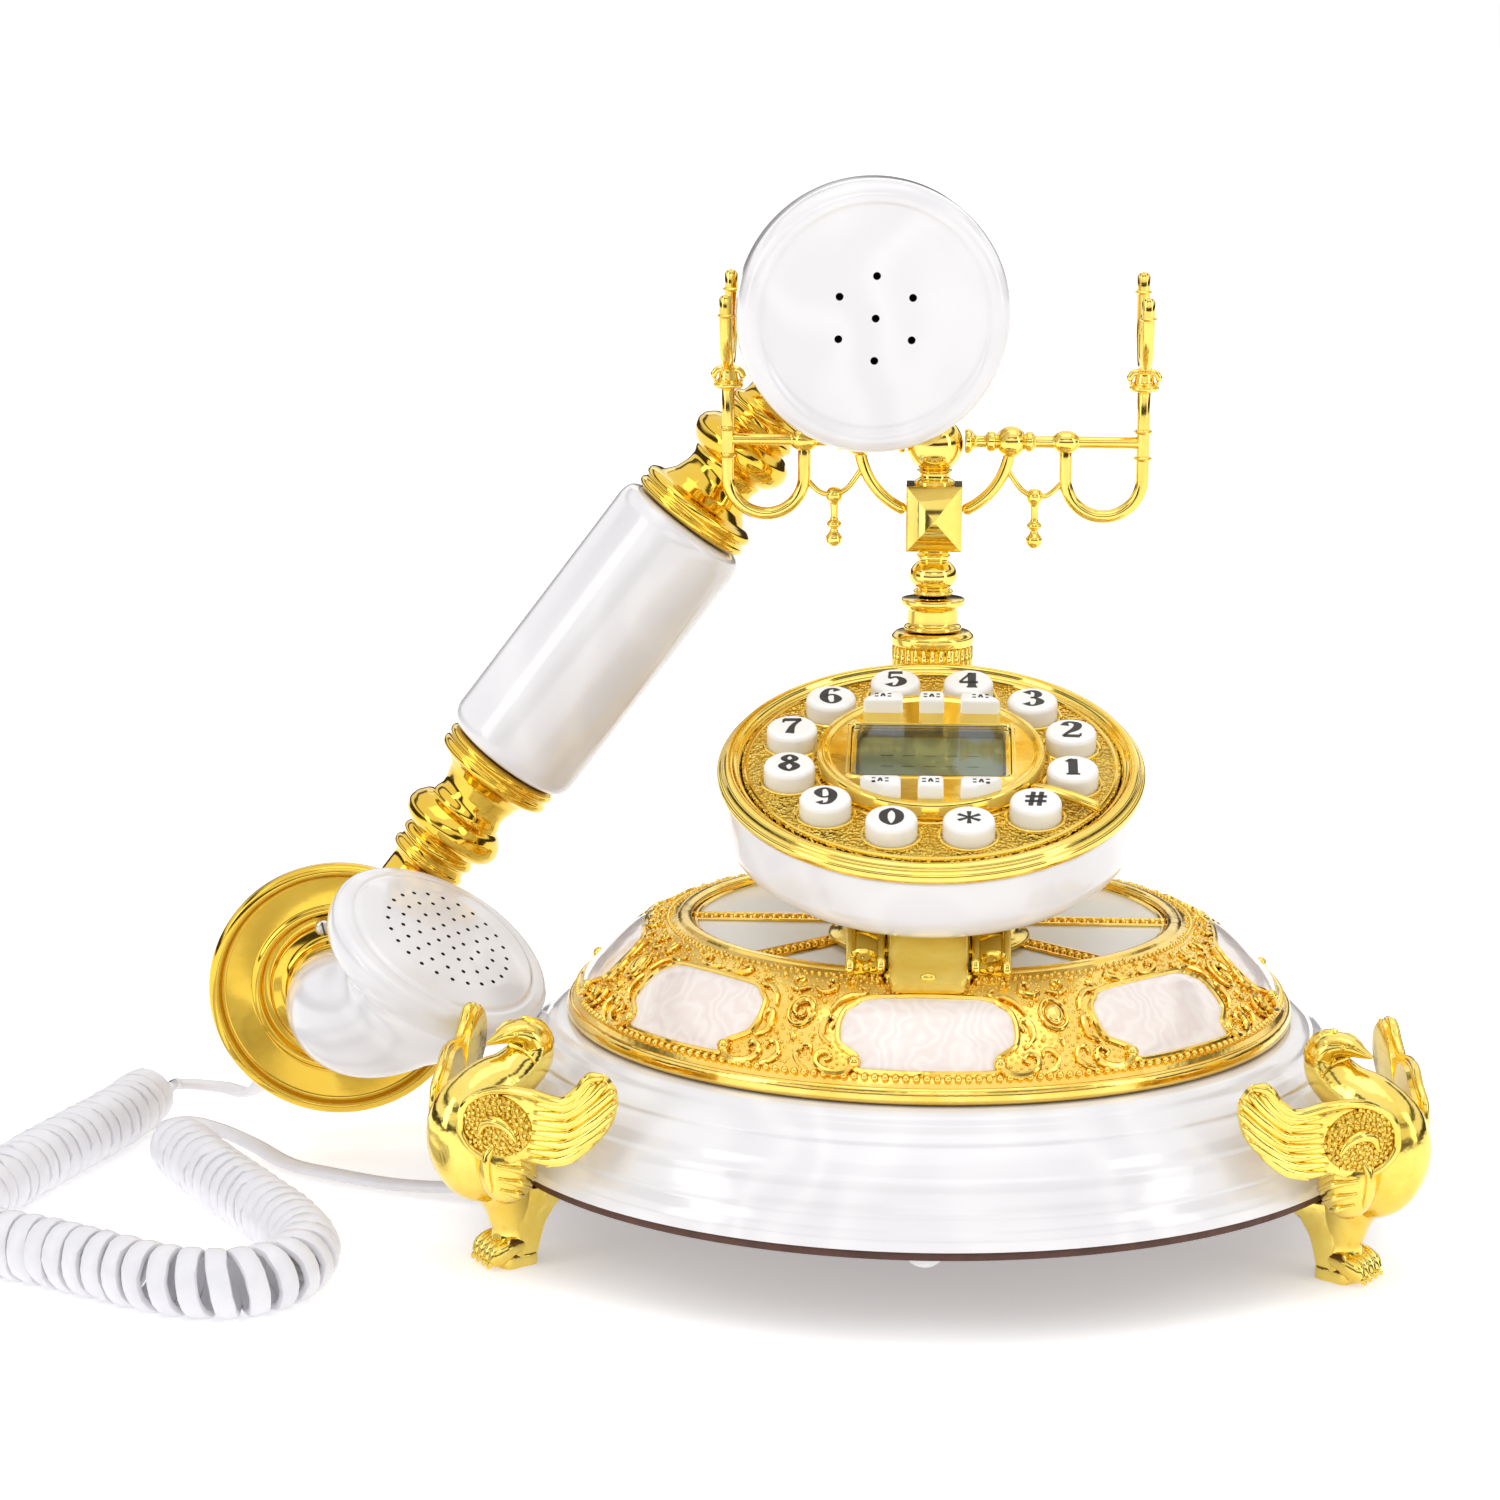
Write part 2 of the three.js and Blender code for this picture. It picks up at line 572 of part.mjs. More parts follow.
// ---------------------------------------------------------------- pedestal
/** The gilt stand between the top disc and the drum: a flared dish, a stem and a scroll on the ring. */
function pedestal() {
  const dishTop = -DRUM_DEPTH - GAP;
  const dish = lathe(
    [[0, dishTop], [HOUSING_RADIUS - 8, dishTop], [HOUSING_RADIUS - 9.6, dishTop - 2], [19, dishTop - 6], [0, dishTop - 9]],
    48,
  );
  const dishPlace = placed(dish, dial.matrix);
  const stem = lathe(
    [[0, DISC_TOP + GAP], [21, DISC_TOP + GAP], [19, DISC_TOP + 3], [14, DISC_TOP + 7], [14, DISC_TOP + 30], [0, DISC_TOP + 30]],
    32,
  );
  const front = new THREE.Shape();
  front.moveTo(-14, DISC_TOP + 8);
  front.lineTo(-14, DISC_TOP + GAP);
  front.lineTo(-54, DISC_TOP - 1);
  front.quadraticCurveTo(-61, DISC_TOP - 2, -61.5, DISC_TOP - 0.2);
  front.quadraticCurveTo(-58, DISC_TOP + 5, -48, DISC_TOP + 8);
  const scroll = (width) =>
    solid(
      new THREE.ExtrudeGeometry(front, { depth: width, bevelEnabled: false, curveSegments: 5 })
        .rotateY(Math.PI / 2)
        .rotateX(Math.PI / 2)
        .translate(-width / 2, 0, 0),
    );
  const wings = box(32, 26, 7, 0, -33, DISC_TOP + 3.6);
  const above = cylinder(BASE_RADIUS, DISC_TOP + GAP, DISC_TOP + 200, 48);
  const ringSpace = lathe([[0, RING_Z], ...ringOutside(GAP).slice(0, -1), [0, RING_TOP + GAP]], 48);
  const ringBand = cut(ringSpace, cylinder(DISC_RADIUS - GAP, RING_Z - 1, RING_TOP + 1, 48));
  const drumSpace = placed(
    lathe([[0, 10], [DIAL_RADIUS + 2, 10], ...housingOutside(GAP), [0, dishTop]], 48),
    dial.matrix,
  );
  const discSpace = cylinder(DISC_RADIUS, RING_Z, DISC_TOP + GAP, 48);
  const stemPlaced = moved(stem, 0, DIAL_CENTRE.y + 5, 0).intersect(above);
  const raw = join(dishPlace, stemPlaced, scroll(16), wings);
  return cut(raw, drumSpace, ringBand, discSpace);
}
piece(phone, 'pedestal', pedestal(), GOLD);

// ---------------------------------------------------------------- cradle
const COLLAR_BOTTOM = COLUMN_TOP - 11;
const BAR_Z = COLUMN_TOP + BAR_RISE;
const SLEEVE_BOTTOM = COLUMN_TOP + GAP;
const SLEEVE_TOP = SLEEVE_BOTTOM + SLEEVE_HEIGHT;

/** The fixed column behind the dial, with its knurled collar; a bore runs through it. */
function cradlePillar() {
  const bore = POST_RADIUS + 0.8;
  const foot = DISC_TOP + GAP;
  return lathe(
    [
      [bore, foot],
      [COLUMN_RADIUS + 3, foot],
      [COLUMN_RADIUS + 3, foot + 2.4],
      [COLUMN_RADIUS, foot + 5],
      [COLUMN_RADIUS, COLLAR_BOTTOM],
      [COLLAR_RADIUS, COLLAR_BOTTOM + 1],
      [COLLAR_RADIUS, COLUMN_TOP - 1],
      [COLLAR_RADIUS - 1, COLUMN_TOP],
      [bore, COLUMN_TOP],
    ],
    32,
  );
}

function cradleSleeve() {
  const bore = POST_RADIUS + 0.5;
  return lathe(
    [
      [bore, SLEEVE_BOTTOM],
      [SLEEVE_RADIUS + 0.8, SLEEVE_BOTTOM],
      [SLEEVE_RADIUS, SLEEVE_BOTTOM + 1],
      [SLEEVE_RADIUS, SLEEVE_TOP - 2],
      [SLEEVE_RADIUS + 1.4, SLEEVE_TOP - 1.2],
      [SLEEVE_RADIUS + 1.4, SLEEVE_TOP],
      [bore, SLEEVE_TOP],
    ],
    24,
  );
}

const BLOCK = { half: 6, bottom: BAR_Z - 23.3, top: BAR_Z - 9.2 };
const TOP_BALL = { radius: 6.1, z: BAR_Z - 0.7 };

/** The sprung post: a rod down to the hook switch, a turned ball, a studded block and a top ball. */
function cradlePost() {
  const knobZ = SLEEVE_TOP + 5;
  const stem = lathe(
    [
      [0, SWITCH_TOP + GAP],
      [POST_RADIUS, SWITCH_TOP + GAP],
      [POST_RADIUS, SLEEVE_TOP + 0.6],
      [4.3, SLEEVE_TOP + 1.2],
      [4.3, SLEEVE_TOP + 1.8],
      [3, SLEEVE_TOP + 2.4],
      [4.6, knobZ - 2.2],
      [5.2, knobZ],
      [4.6, knobZ + 2.2],
      [3, knobZ + 3.6],
      [3, BLOCK.bottom + 1],
      [0, BLOCK.bottom + 1],
    ],
    20,
  );
  const height = BLOCK.top - BLOCK.bottom;
  const middle = (BLOCK.top + BLOCK.bottom) / 2;
  const block = box(2 * BLOCK.half, 2 * BLOCK.half - 2, height, 0, 0, middle);
  const pyramid = new THREE.ConeGeometry(Math.SQRT2, 1, 4, 1).rotateY(Math.PI / 4);
  const stud = solid(pyramid.scale(BLOCK.half, 4, height / 2).rotateX(Math.PI / 2));
  const front = moved(stud.rotate([180, 0, 0]), 0, -BLOCK.half - 0.9, middle);
  const neck = cylinder(3.4, BLOCK.top - 1, BAR_Z - 3, 16);
  return join(stem, block, front, neck, ball(TOP_BALL.radius, 0, 0, TOP_BALL.z));
}

const LOOP_RADIUS = (FORK_SPAN - LOOP_INNER) / 2;
const LOOP_Z = BAR_Z - 7.8;
const FORK_STEM_Z = BAR_Z + 10.8;

/** One side of the cradle: crossbar with turned knobs, hanging loop, half arc and a drop ornament. */
function cradleArm(hand) {
  const inner = TOP_BALL.radius + GAP;
  const along = (a, b, radius) => bar([hand * a, 0, BAR_Z], [hand * b, 0, BAR_Z], radius, 8);
  const crossbar = along(inner, FORK_SPAN, BAR_RADIUS);
  const knobs = [
    along(inner, 8.4, 2.6),
    along(11.6, 13, 2.2),
    along(19.4, 20.8, 2.2),
    ball(3.3, hand * ARC_RADIUS, 0, BAR_Z, 1, 10),
    ball(2.3, hand * LOOP_INNER, 0, BAR_Z, 1, 8),
  ];
  const arcStart = Math.asin((BLOCK.half + 3 * GAP) / ARC_RADIUS);
  const arcPoints = [];
  for (let k = 0; k <= 8; k += 1) {
    const angle = arcStart + ((Math.PI / 2 - arcStart) * k) / 8;
    arcPoints.push([hand * ARC_RADIUS * Math.sin(angle), 0, BAR_Z - ARC_RADIUS * Math.cos(angle)]);
  }
  const arc = rod(smooth(arcPoints), BAR_RADIUS, 7, 6);
  const middle = (FORK_SPAN + LOOP_INNER) / 2;
  const loopPoints = [[hand * LOOP_INNER, 0, BAR_Z]];
  for (let k = 0; k <= 8; k += 1) {
    const angle = (Math.PI * k) / 8;
    const x = middle - LOOP_RADIUS * Math.cos(angle);
    loopPoints.push([hand * x, 0, LOOP_Z - LOOP_RADIUS * Math.sin(angle)]);
  }
  loopPoints.push([hand * FORK_SPAN, 0, BAR_Z], [hand * FORK_SPAN, 0, FORK_STEM_Z]);
  const loop = rod(smooth(loopPoints), ROD_RADIUS, 18, 6);
  const knob = [hand * 21.6, 0, BAR_Z - 12];
  const drop = [
    bar([hand * 15.3, 0, BAR_Z - 5.6], knob, 0.6, 4),
    bar([hand * LOOP_INNER, 0, BAR_Z - 8], knob, 0.6, 4),
    ball(1.8, ...knob, 1, 8),
    bar(knob, [hand * 21.6, 0, BAR_Z - 21], 0.8, 6),
    ball(1.6, hand * 21.6, 0, BAR_Z - 18.6, 0.6, 8),
    ball(1.7, hand * 21.6, 0, BAR_Z - 21.4, 1, 8),
  ];
  return join(crossbar, ...knobs, arc, loop, ...drop);
}

/** A U-shaped fork seen edge-on, standing on an eye at the end of the arm's rod. */
function cradleFork(hand) {
  const bottom = FORK_STEM_Z + 3.6;
  const points = [];
  for (let k = 0; k <= 10; k += 1) {
    const angle = Math.PI * (k / 10 - 0.5);
    const rise = FORK_OPENING * (1 - Math.cos(angle));
    points.push([hand * FORK_SPAN, FORK_OPENING * Math.sin(angle), bottom + PRONG_RADIUS + rise]);
  }
  points.unshift([hand * FORK_SPAN, -FORK_OPENING, bottom + PRONG_RADIUS + FORK_OPENING + FORK_TIP / 2]);
  points.push([hand * FORK_SPAN, FORK_OPENING, bottom + PRONG_RADIUS + FORK_OPENING + FORK_TIP]);
  const eye = lathe([[0, 0], [3.6, 0], [3.9, 1.6], [3, 3.4], [1.6, 5], [0, 5]], 10);
  return join(rod(smooth(points), PRONG_RADIUS, 16, 6), moved(eye, hand * FORK_SPAN, 0, FORK_STEM_Z + GAP));
}

cradle.position.set(0, COLUMN_Y, 0);
piece(phone, 'cradle_pillar', moved(cradlePillar(), 0, COLUMN_Y, 0), GOLD);
piece(phone, 'cradle_sleeve', moved(cradleSleeve(), 0, COLUMN_Y, 0), GOLD);
piece(cradle, 'cradle_post', cradlePost(), GOLD);
for (const [side, hand] of [['left', -1], ['right', 1]]) {
  piece(cradle, `cradle_arm_${side}`, cradleArm(hand), GOLD);
  piece(cradle, `cradle_fork_${side}`, cradleFork(hand), GOLD);
}

// ---------------------------------------------------------------- handset
const EAR_CENTRE = V3(-16.8, COLUMN_Y + 15, BAR_Z + EAR_RISE);
const MOUTH_X = -(Math.sqrt(BASE_RADIUS ** 2 - MOUTH_LEVEL ** 2) + MOUTH_REACH);
const MOUTH_CENTRE = V3(MOUTH_X, COLUMN_Y + 10.3, MOUTH_HEIGHT);
const HANDSET_HALF = EAR_CENTRE.distanceTo(MOUTH_CENTRE) / 2;
const GRIP_HALF = HANDSET_HALF - NECK_LENGTH;

/** The handset's frame: +Z from mouth to ear, -Y the way that both ends face. */
function placeHandset() {
  const axis = EAR_CENTRE.clone().sub(MOUTH_CENTRE).normalize();
  const facing = V3(0, -1, 0).projectOnPlane(axis).normalize().applyAxisAngle(axis, HANDSET_ROLL);
  const side = V3().crossVectors(axis, facing);
  handset.position.copy(EAR_CENTRE).add(MOUTH_CENTRE).multiplyScalar(0.5);
  handset.quaternion.setFromRotationMatrix(new THREE.Matrix4().makeBasis(side, facing.negate(), axis));
}
placeHandset();

const TIE_RADIUS = 3.2;

function grip() {
  const corner = 3.3;
  const bore = TIE_RADIUS + GAP;
  return lathe(
    [
      [bore, -GRIP_HALF],
      [GRIP_RADIUS - corner, -GRIP_HALF],
      [GRIP_RADIUS - 0.9, -GRIP_HALF + 0.9],
      [GRIP_RADIUS, -GRIP_HALF + corner],
      [GRIP_RADIUS, GRIP_HALF - corner],
      [GRIP_RADIUS - 0.9, GRIP_HALF - 0.9],
      [GRIP_RADIUS - corner, GRIP_HALF],
      [bore, GRIP_HALF],
    ],
    32,
  );
}

/** A turned neck, from its collar at the grip to the round end behind the ear or mouth. */
function neck(hand) {
  const outline = [
    [0, GAP],
    [13.2, GAP],
    [13.8, 1],
    [13.8, 4.6],
    [11.4, 5.6],
    [8.6, 9],
    [8, 12.4],
    [9.4, 16.4],
    [11.6, 20],
    [9.8, 23],
    [7.9, 24],
    [8.6, 25.2],
    [8.6, 29.4],
    [7.4, 30.4],
    [7.2, NECK_LENGTH],
    [5.4, NECK_LENGTH + 5],
    [0, NECK_LENGTH + 7.4],
  ];
  return lathe(outline.map(([r, z]) => [r, hand * (GRIP_HALF + z)]), 28);
}

/** The ear end, built at the ear's centre: a gilt disc, a stepped cup, the capsule and a pierced cap. */
function earPieces() {
  const at = (body) => moved(body, 0, 0, HANDSET_HALF);
  const discBack = 7.6;
  const cupBack = 12.6;
  const capBack = 24.2;
  const disc = [[0, discBack], [EAR_DISC_RADIUS - 1.6, discBack], [EAR_DISC_RADIUS, discBack + 1.4]];
  const discBody = latheForward([...disc, [EAR_DISC_RADIUS, 11], [EAR_DISC_RADIUS - 2, 12.3], [0, 12.3]], 40);
  piece(handset, 'ear_back_disc', at(cut(discBody, neck(1).translate([0, 0, -HANDSET_HALF]))), HANDSET_GOLD);
  const cup = [
    [0, cupBack],
    [20.6, cupBack],
    [21.6, 15],
    [21.6, 20],
    [26.4, 23.9],
    [24, 23.9],
    [19.4, 19.6],
    [19.4, 14.8],
    [0, 14.8],
  ];
  piece(handset, 'ear_cup', at(latheForward(cup, 40)), PEARL);
  piece(handset, 'receiver_capsule', at(latheForward([[0, 15.1], [17, 15.1], [17, 25], [0, 25]], 24)), DARK);
  const cap = [
    [0, EAR_CAP_FRONT - 0.9],
    [EAR_CAP_RADIUS - 4.6, EAR_CAP_FRONT - 0.9],
    [EAR_CAP_RADIUS - 3.6, EAR_CAP_FRONT],
    [EAR_CAP_RADIUS - 1.2, EAR_CAP_FRONT - 0.8],
    [EAR_CAP_RADIUS, EAR_CAP_FRONT - 3.6],
    [EAR_CAP_RADIUS, capBack + 2],
    [EAR_CAP_RADIUS - 1.4, capBack],
    [EAR_CAP_RADIUS - CAP_WALL - 1, capBack],
    [EAR_CAP_RADIUS - CAP_WALL - 1, EAR_CAP_FRONT - 4],
    [0, EAR_CAP_FRONT - 4],
  ];
  const hole = cylinder(0.75, 28, EAR_CAP_FRONT + 2, 8).rotate([90, 0, 0]);
  const holes = [hole];
  for (let k = 0; k < 6; k += 1) {
    holes.push(moved(hole, 8.9 * Math.sin(turn(60 * k)), 0, 8.9 * Math.cos(turn(60 * k))));
  }
  piece(handset, 'ear_cap', at(cut(latheForward(cap, 48), ...holes)), PEARL);
}

// The horn's mouth, measured from the mouth's centre in the handset's frame, and the way it faces.
const HORN_FACE = V3(7.4, -41, 29.9);
const HORN_AIM = V3(-0.14, -0.289, 0.947).normalize();
const CAP_DEPTH = 7.6;

/** The mouth end: a gilt dish with a stepped boss, and a bell-mouthed horn that turns up to the lips. */
function mouthPieces() {
  const at = (body) => moved(body, 0, 0, -HANDSET_HALF);
  const rim = MOUTH_DISC_RADIUS;
  const disc = [
    [0, 7.6],
    [rim - 3, 7.6],
    [rim, 10.6],
    [rim - 0.4, 13.4],
    [rim - 1.8, 14],
    [rim - 3, 12.8],
    [rim - 9.4, 11.6],
    [15.4, 11],
    [14.4, 12.6],
    [12.2, 13],
    [11.2, 15.4],
    [0, 15.4],
  ];
  const dish = cut(latheForward(disc, 48), neck(-1).translate([0, 0, HANDSET_HALF]));
  piece(handset, 'mouth_back_disc', at(dish), HANDSET_GOLD);
  const back = HORN_FACE.clone().addScaledVector(HORN_AIM, -CAP_DEPTH - GAP);
  const path = new THREE.CubicBezierCurve3(
    V3(0, -15.7, 0),
    V3(0, -33, 0),
    back.clone().addScaledVector(HORN_AIM, -17),
    back,
  );
  const flare = (t) => 10.6 + 3 * Math.sin(Math.PI * Math.min(t * 1.4, 1)) + (HORN_RADIUS - 12.4) * t ** 3;
  const rings = (from, to, inset) => {
    const list = [];
    for (let k = 0; k <= 9; k += 1) {
      const t = from + ((to - from) * k) / 9;
      list.push([path.getPoint(t).toArray(), flare(t) - inset, flare(t) - inset]);
    }
    return list;
  };
  const outside = loft(rings(0, 1, 0), V3(1, 0, 0), 24);
  const mouthWay = back.clone().addScaledVector(HORN_AIM, 2).toArray();
  const hollow = [...rings(0.42, 1, 2.2), [mouthWay, flare(1) - 2.2, flare(1) - 2.2]];
  const faceFrame = new THREE.Matrix4().compose(
    HORN_FACE,
    new THREE.Quaternion().setFromUnitVectors(V3(0, 0, 1), HORN_AIM),
    V3(1, 1, 1),
  );
  const boss = latheForward([[0, 0], [30, 0], [30, 15.4 + GAP], [0, 15.4 + GAP]], 12);
  const capSpace = placed(cylinder(40, -CAP_DEPTH - GAP, 30), faceFrame);
  const horn = cut(outside, loft(hollow, V3(1, 0, 0), 20), boss, capSpace);
  piece(handset, 'mouth_horn', at(horn), PEARL);
  const cap = [
    [0, 1.4],
    [HORN_RADIUS - 9, 0.8],
    [HORN_RADIUS - 2, -0.6],
    [HORN_RADIUS, -2],
    [HORN_RADIUS - 0.9, -CAP_DEPTH],
    [HORN_RADIUS - 3.4, -CAP_DEPTH],
    [HORN_RADIUS - 3.4, -3.4],
    [0, -1.6],
  ];
  piece(handset, 'mouth_cap', at(placed(lathe(cap, 40), faceFrame)), PEARL);
  const capsule = placed(cylinder(12, -8.4, -3.2, 20), faceFrame);
  piece(handset, 'mic_capsule', at(capsule), DARK);
}

piece(handset, 'grip', grip(), PEARL);
piece(handset, 'grip_tie_rod', cylinder(TIE_RADIUS, -GRIP_HALF, GRIP_HALF, 12), DARK);
piece(handset, 'neck_upper', neck(1), HANDSET_GOLD);
piece(handset, 'neck_lower', neck(-1), HANDSET_GOLD);
earPieces();
mouthPieces();

const RELIEF_TOP = -(HANDSET_HALF + 7.4 + GAP);
const RELIEF_LENGTH = 7;
const relief = lathe(
  [
    [0, RELIEF_TOP],
    [3.4, RELIEF_TOP],
    [2.9, RELIEF_TOP - RELIEF_LENGTH],
    [0, RELIEF_TOP - RELIEF_LENGTH],
  ],
  14,
);
piece(handset, 'cord_relief', relief, CORD);

// ---------------------------------------------------------------- cord
phone.add(dial, cradle, handset);
phone.updateMatrixWorld(true);

const COIL_Z = COIL_RADIUS + 0.3;
const COIL_ROUTE = [
  [-176.5, 47], [-181, 25], [-188, 1], [-194.5, -22], [-199, -44], [-191, -61], [-174, -70.5], [-159, -79.5],
  [-146, -86.5], [-134, -87], [-125.6, -79], [-123.6, -66], [-129, -52], [-139, -35], [-149, -19], [-157, -5],
  [-164.5, 9],
];
const LEAD_Z = CORD_WIDTH / 2 + 0.4;
const BASE_LEAD_ROUTE = [
  [-165.6, 12.1, COIL_Z], [-168.2, 20, 7], [-164.5, 27, 6.2], [-157, 25, 5], [-148, 17, 4], [-139, 8, LEAD_Z],
  [-128, 1, LEAD_Z], [-114, -5.6, LEAD_Z], [-101, -9.4, 3.4], [-92.5, -11.6, 5.4], [-86.6, -13.2, 9.6],
];

/** The lead from the handset's relief down to the table, where the coil starts. */
function handsetLead() {
  const tip = V3(0, 0, RELIEF_TOP - RELIEF_LENGTH - GAP);
  const below = V3(0, 0, RELIEF_TOP - RELIEF_LENGTH - 9);
  const start = handset.localToWorld(tip).toArray();
  const leave = handset.localToWorld(below).toArray();
  const route = [start, leave, [-154.5, 54, 6], [-163, 60, 5], [-171, 58.5, 6], [-175.2, 51.2, COIL_Z]];
  return rod(smooth(route), CORD_WIDTH / 2, 22, 8);
}

const baseLeadEnd = [-85.2, -13.6, PLATE_BOTTOM_Z - GAP - 0.4];
const coilCurve = smooth(COIL_ROUTE.map(([x, y]) => [x, y, COIL_Z]));
piece(phone, 'handset_lead', handsetLead(), CORD);
piece(phone, 'cord_coil', rod(coilCurve, COIL_RADIUS, 34, 10), CORD);
piece(phone, 'base_lead', rod(smooth([...BASE_LEAD_ROUTE, baseLeadEnd]), CORD_WIDTH / 2, 30, 8), CORD);

// ---------------------------------------------------------------- origin
// The origin is the middle of the phone's underside, measured without its cord.
const CORD_PIECES = ['handset_lead', 'cord_coil', 'base_lead', 'cord_relief'];
const extent = new THREE.Box3();
phone.traverse((node) => {
  if (node.isMesh && !CORD_PIECES.includes(node.name)) extent.expandByObject(node, true);
});
const middle = extent.getCenter(V3());
phone.position.set(-middle.x, -middle.y, -extent.min.z);

const model = new THREE.Group();
model.add(phone);
model.updateMatrixWorld(true);
export default model;
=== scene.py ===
"""The looks of a French-style cradle telephone, built round its fixed frame.

Sizes are in millimetres in each sub-assembly's own frame, and become metres when a piece is made.
"""
import logging
from dataclasses import dataclass, field
from enum import Enum
from math import asin, copysign, cos, exp, pi, radians, sin, sqrt
from typing import Iterable, Sequence

import bmesh
import bpy
from bpy.types import Material, Mesh, Node, NodeSocket, NodeTree, Object
from mathutils import Matrix, Quaternion, Vector


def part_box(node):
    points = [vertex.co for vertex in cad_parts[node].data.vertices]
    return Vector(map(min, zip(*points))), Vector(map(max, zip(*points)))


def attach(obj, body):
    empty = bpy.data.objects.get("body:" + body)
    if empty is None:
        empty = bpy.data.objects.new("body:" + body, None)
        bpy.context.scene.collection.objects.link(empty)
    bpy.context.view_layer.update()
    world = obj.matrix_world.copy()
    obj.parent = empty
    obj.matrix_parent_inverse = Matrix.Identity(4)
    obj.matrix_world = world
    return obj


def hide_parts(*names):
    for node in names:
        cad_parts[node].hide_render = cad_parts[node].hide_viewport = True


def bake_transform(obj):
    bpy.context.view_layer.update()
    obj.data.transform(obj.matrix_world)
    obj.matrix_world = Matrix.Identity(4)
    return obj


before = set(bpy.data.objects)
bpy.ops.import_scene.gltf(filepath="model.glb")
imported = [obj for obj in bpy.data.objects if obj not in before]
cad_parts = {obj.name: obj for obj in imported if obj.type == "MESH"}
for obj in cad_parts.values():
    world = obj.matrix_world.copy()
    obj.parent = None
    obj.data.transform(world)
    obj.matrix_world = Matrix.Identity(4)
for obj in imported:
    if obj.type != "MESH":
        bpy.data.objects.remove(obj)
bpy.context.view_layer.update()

LOG = logging.getLogger("cradle_phone")
MM = 0.001
SHARP = radians(38)
GOLDEN_ANGLE = 2.39996
Outline = Sequence[tuple[float, float]]
Path = Sequence[Sequence[float]]


class Body(Enum):
    """The moving bodies that pieces ride on, besides the keys' own."""

    BASE = "phone_base"
    CRADLE = "cradle"
    HANDSET = "handset"


class Side(Enum):
    """The two hands of the cradle and of a swan's wings."""

    LEFT = -1
    RIGHT = 1


# ---------------------------------------------------------------- lines
def catmull(points: Path, steps: int, closed: bool = False) -> list[Vector]:
    """Runs a smooth line through points.

    Args:
        points: the points that the line passes through.
        steps: how many stretches each span is divided into.
        closed: whether the line joins its own start.

    Returns:
        The points of the line, with the last one left out when it is closed.
    """
    knots = [Vector(p) for p in points]
    count = len(knots)
    spans = count if closed else count - 1

    def knot(i: int) -> Vector:
        """Returns a knot, or one that carries the line on past its ends."""
        if closed:
            return knots[i % count]
        if i < 0:
            return 2 * knots[0] - knots[1]
        return knots[i] if i < count else 2 * knots[-1] - knots[-2]

    line = []
    for i in range(spans):
        a, b, c, d = (knot(i + k) for k in (-1, 0, 1, 2))
        for k in range(steps):
            t = k / steps
            line.append(
                0.5 * (2 * b + (c - a) * t + (2 * a - 5 * b + 4 * c - d) * t * t
                       + (3 * b - a - 3 * c + d) * t ** 3)
            )
    if not closed:
        line.append(knots[-1].copy())
    return line


def eased(outline: Outline, radius: float = 0.4, steps: int = 3) -> list[tuple[float, float]]:
    """Rounds the inner corners of an outline with small fillets.

    Args:
        outline: the corners, as (radius, height) pairs.
        radius: how far from each corner its fillet starts.
        steps: how many stretches each fillet has.

    Returns:
        The outline with its fillets.
    """
    corners = [Vector(p) for p in outline]
    line = [tuple(corners[0])]
    for before, corner, after in zip(corners, corners[1:], corners[2:]):
        back, on = before - corner, after - corner
        reach = min(radius, 0.45 * back.length, 0.45 * on.length)
        start, end = corner + back.normalized() * reach, corner + on.normalized() * reach
        for k in range(steps + 1):
            t = k / steps
            line.append(tuple((1 - t) ** 2 * start + 2 * t * (1 - t) * corner + t * t * end))
    line.append(tuple(corners[-1]))
    return line


def around(radius: float, points: int, z: float = 0.0) -> list[Vector]:
    """Returns points at an even pitch round a circle about Z."""
    return [Vector((radius * cos(a), radius * sin(a), z)) for a in (2 * pi * k / points
        for k in range(points))]


def tapered(radii: Sequence[float], steps: int, count: int) -> list[float]:
    """Eases a few radii into one for each point of a line.

    Args:
        radii: the radii at even distances along the line.
        steps: how many stretches each span is divided into.
        count: how many points the line has.

    Returns:
        One radius for each point.
    """
    sizes = [v.x for v in catmull([(r, 0, 0) for r in radii], steps)]
    last = len(sizes) - 1
    return [sizes[min(int(last * k / max(count - 1, 1) + 0.5), last)] for k in range(count)]


def carried_frames(line: Sequence[Vector], first: Vector | None = None) -> list[tuple[Vector, Vector]]:
    """Carries a pair of cross directions along a line without twisting them.

    Args:
        line: the points of the line.
        first: the way that the first cross direction should point, when that matters.

    Returns:
        Two unit vectors across the line at each of its points.
    """
    frames = []
    across = first or Vector((0.31, 0.17, 0.93))
    for i, _ in enumerate(line):
        along = (line[min(i + 1, len(line) - 1)] - line[max(i - 1, 0)]).normalized()
        across = across - along * across.dot(along)
        if across.length < 1e-6:
            across = along.orthogonal()
        across = across.normalized()
        frames.append((across, along.cross(across)))
    return frames


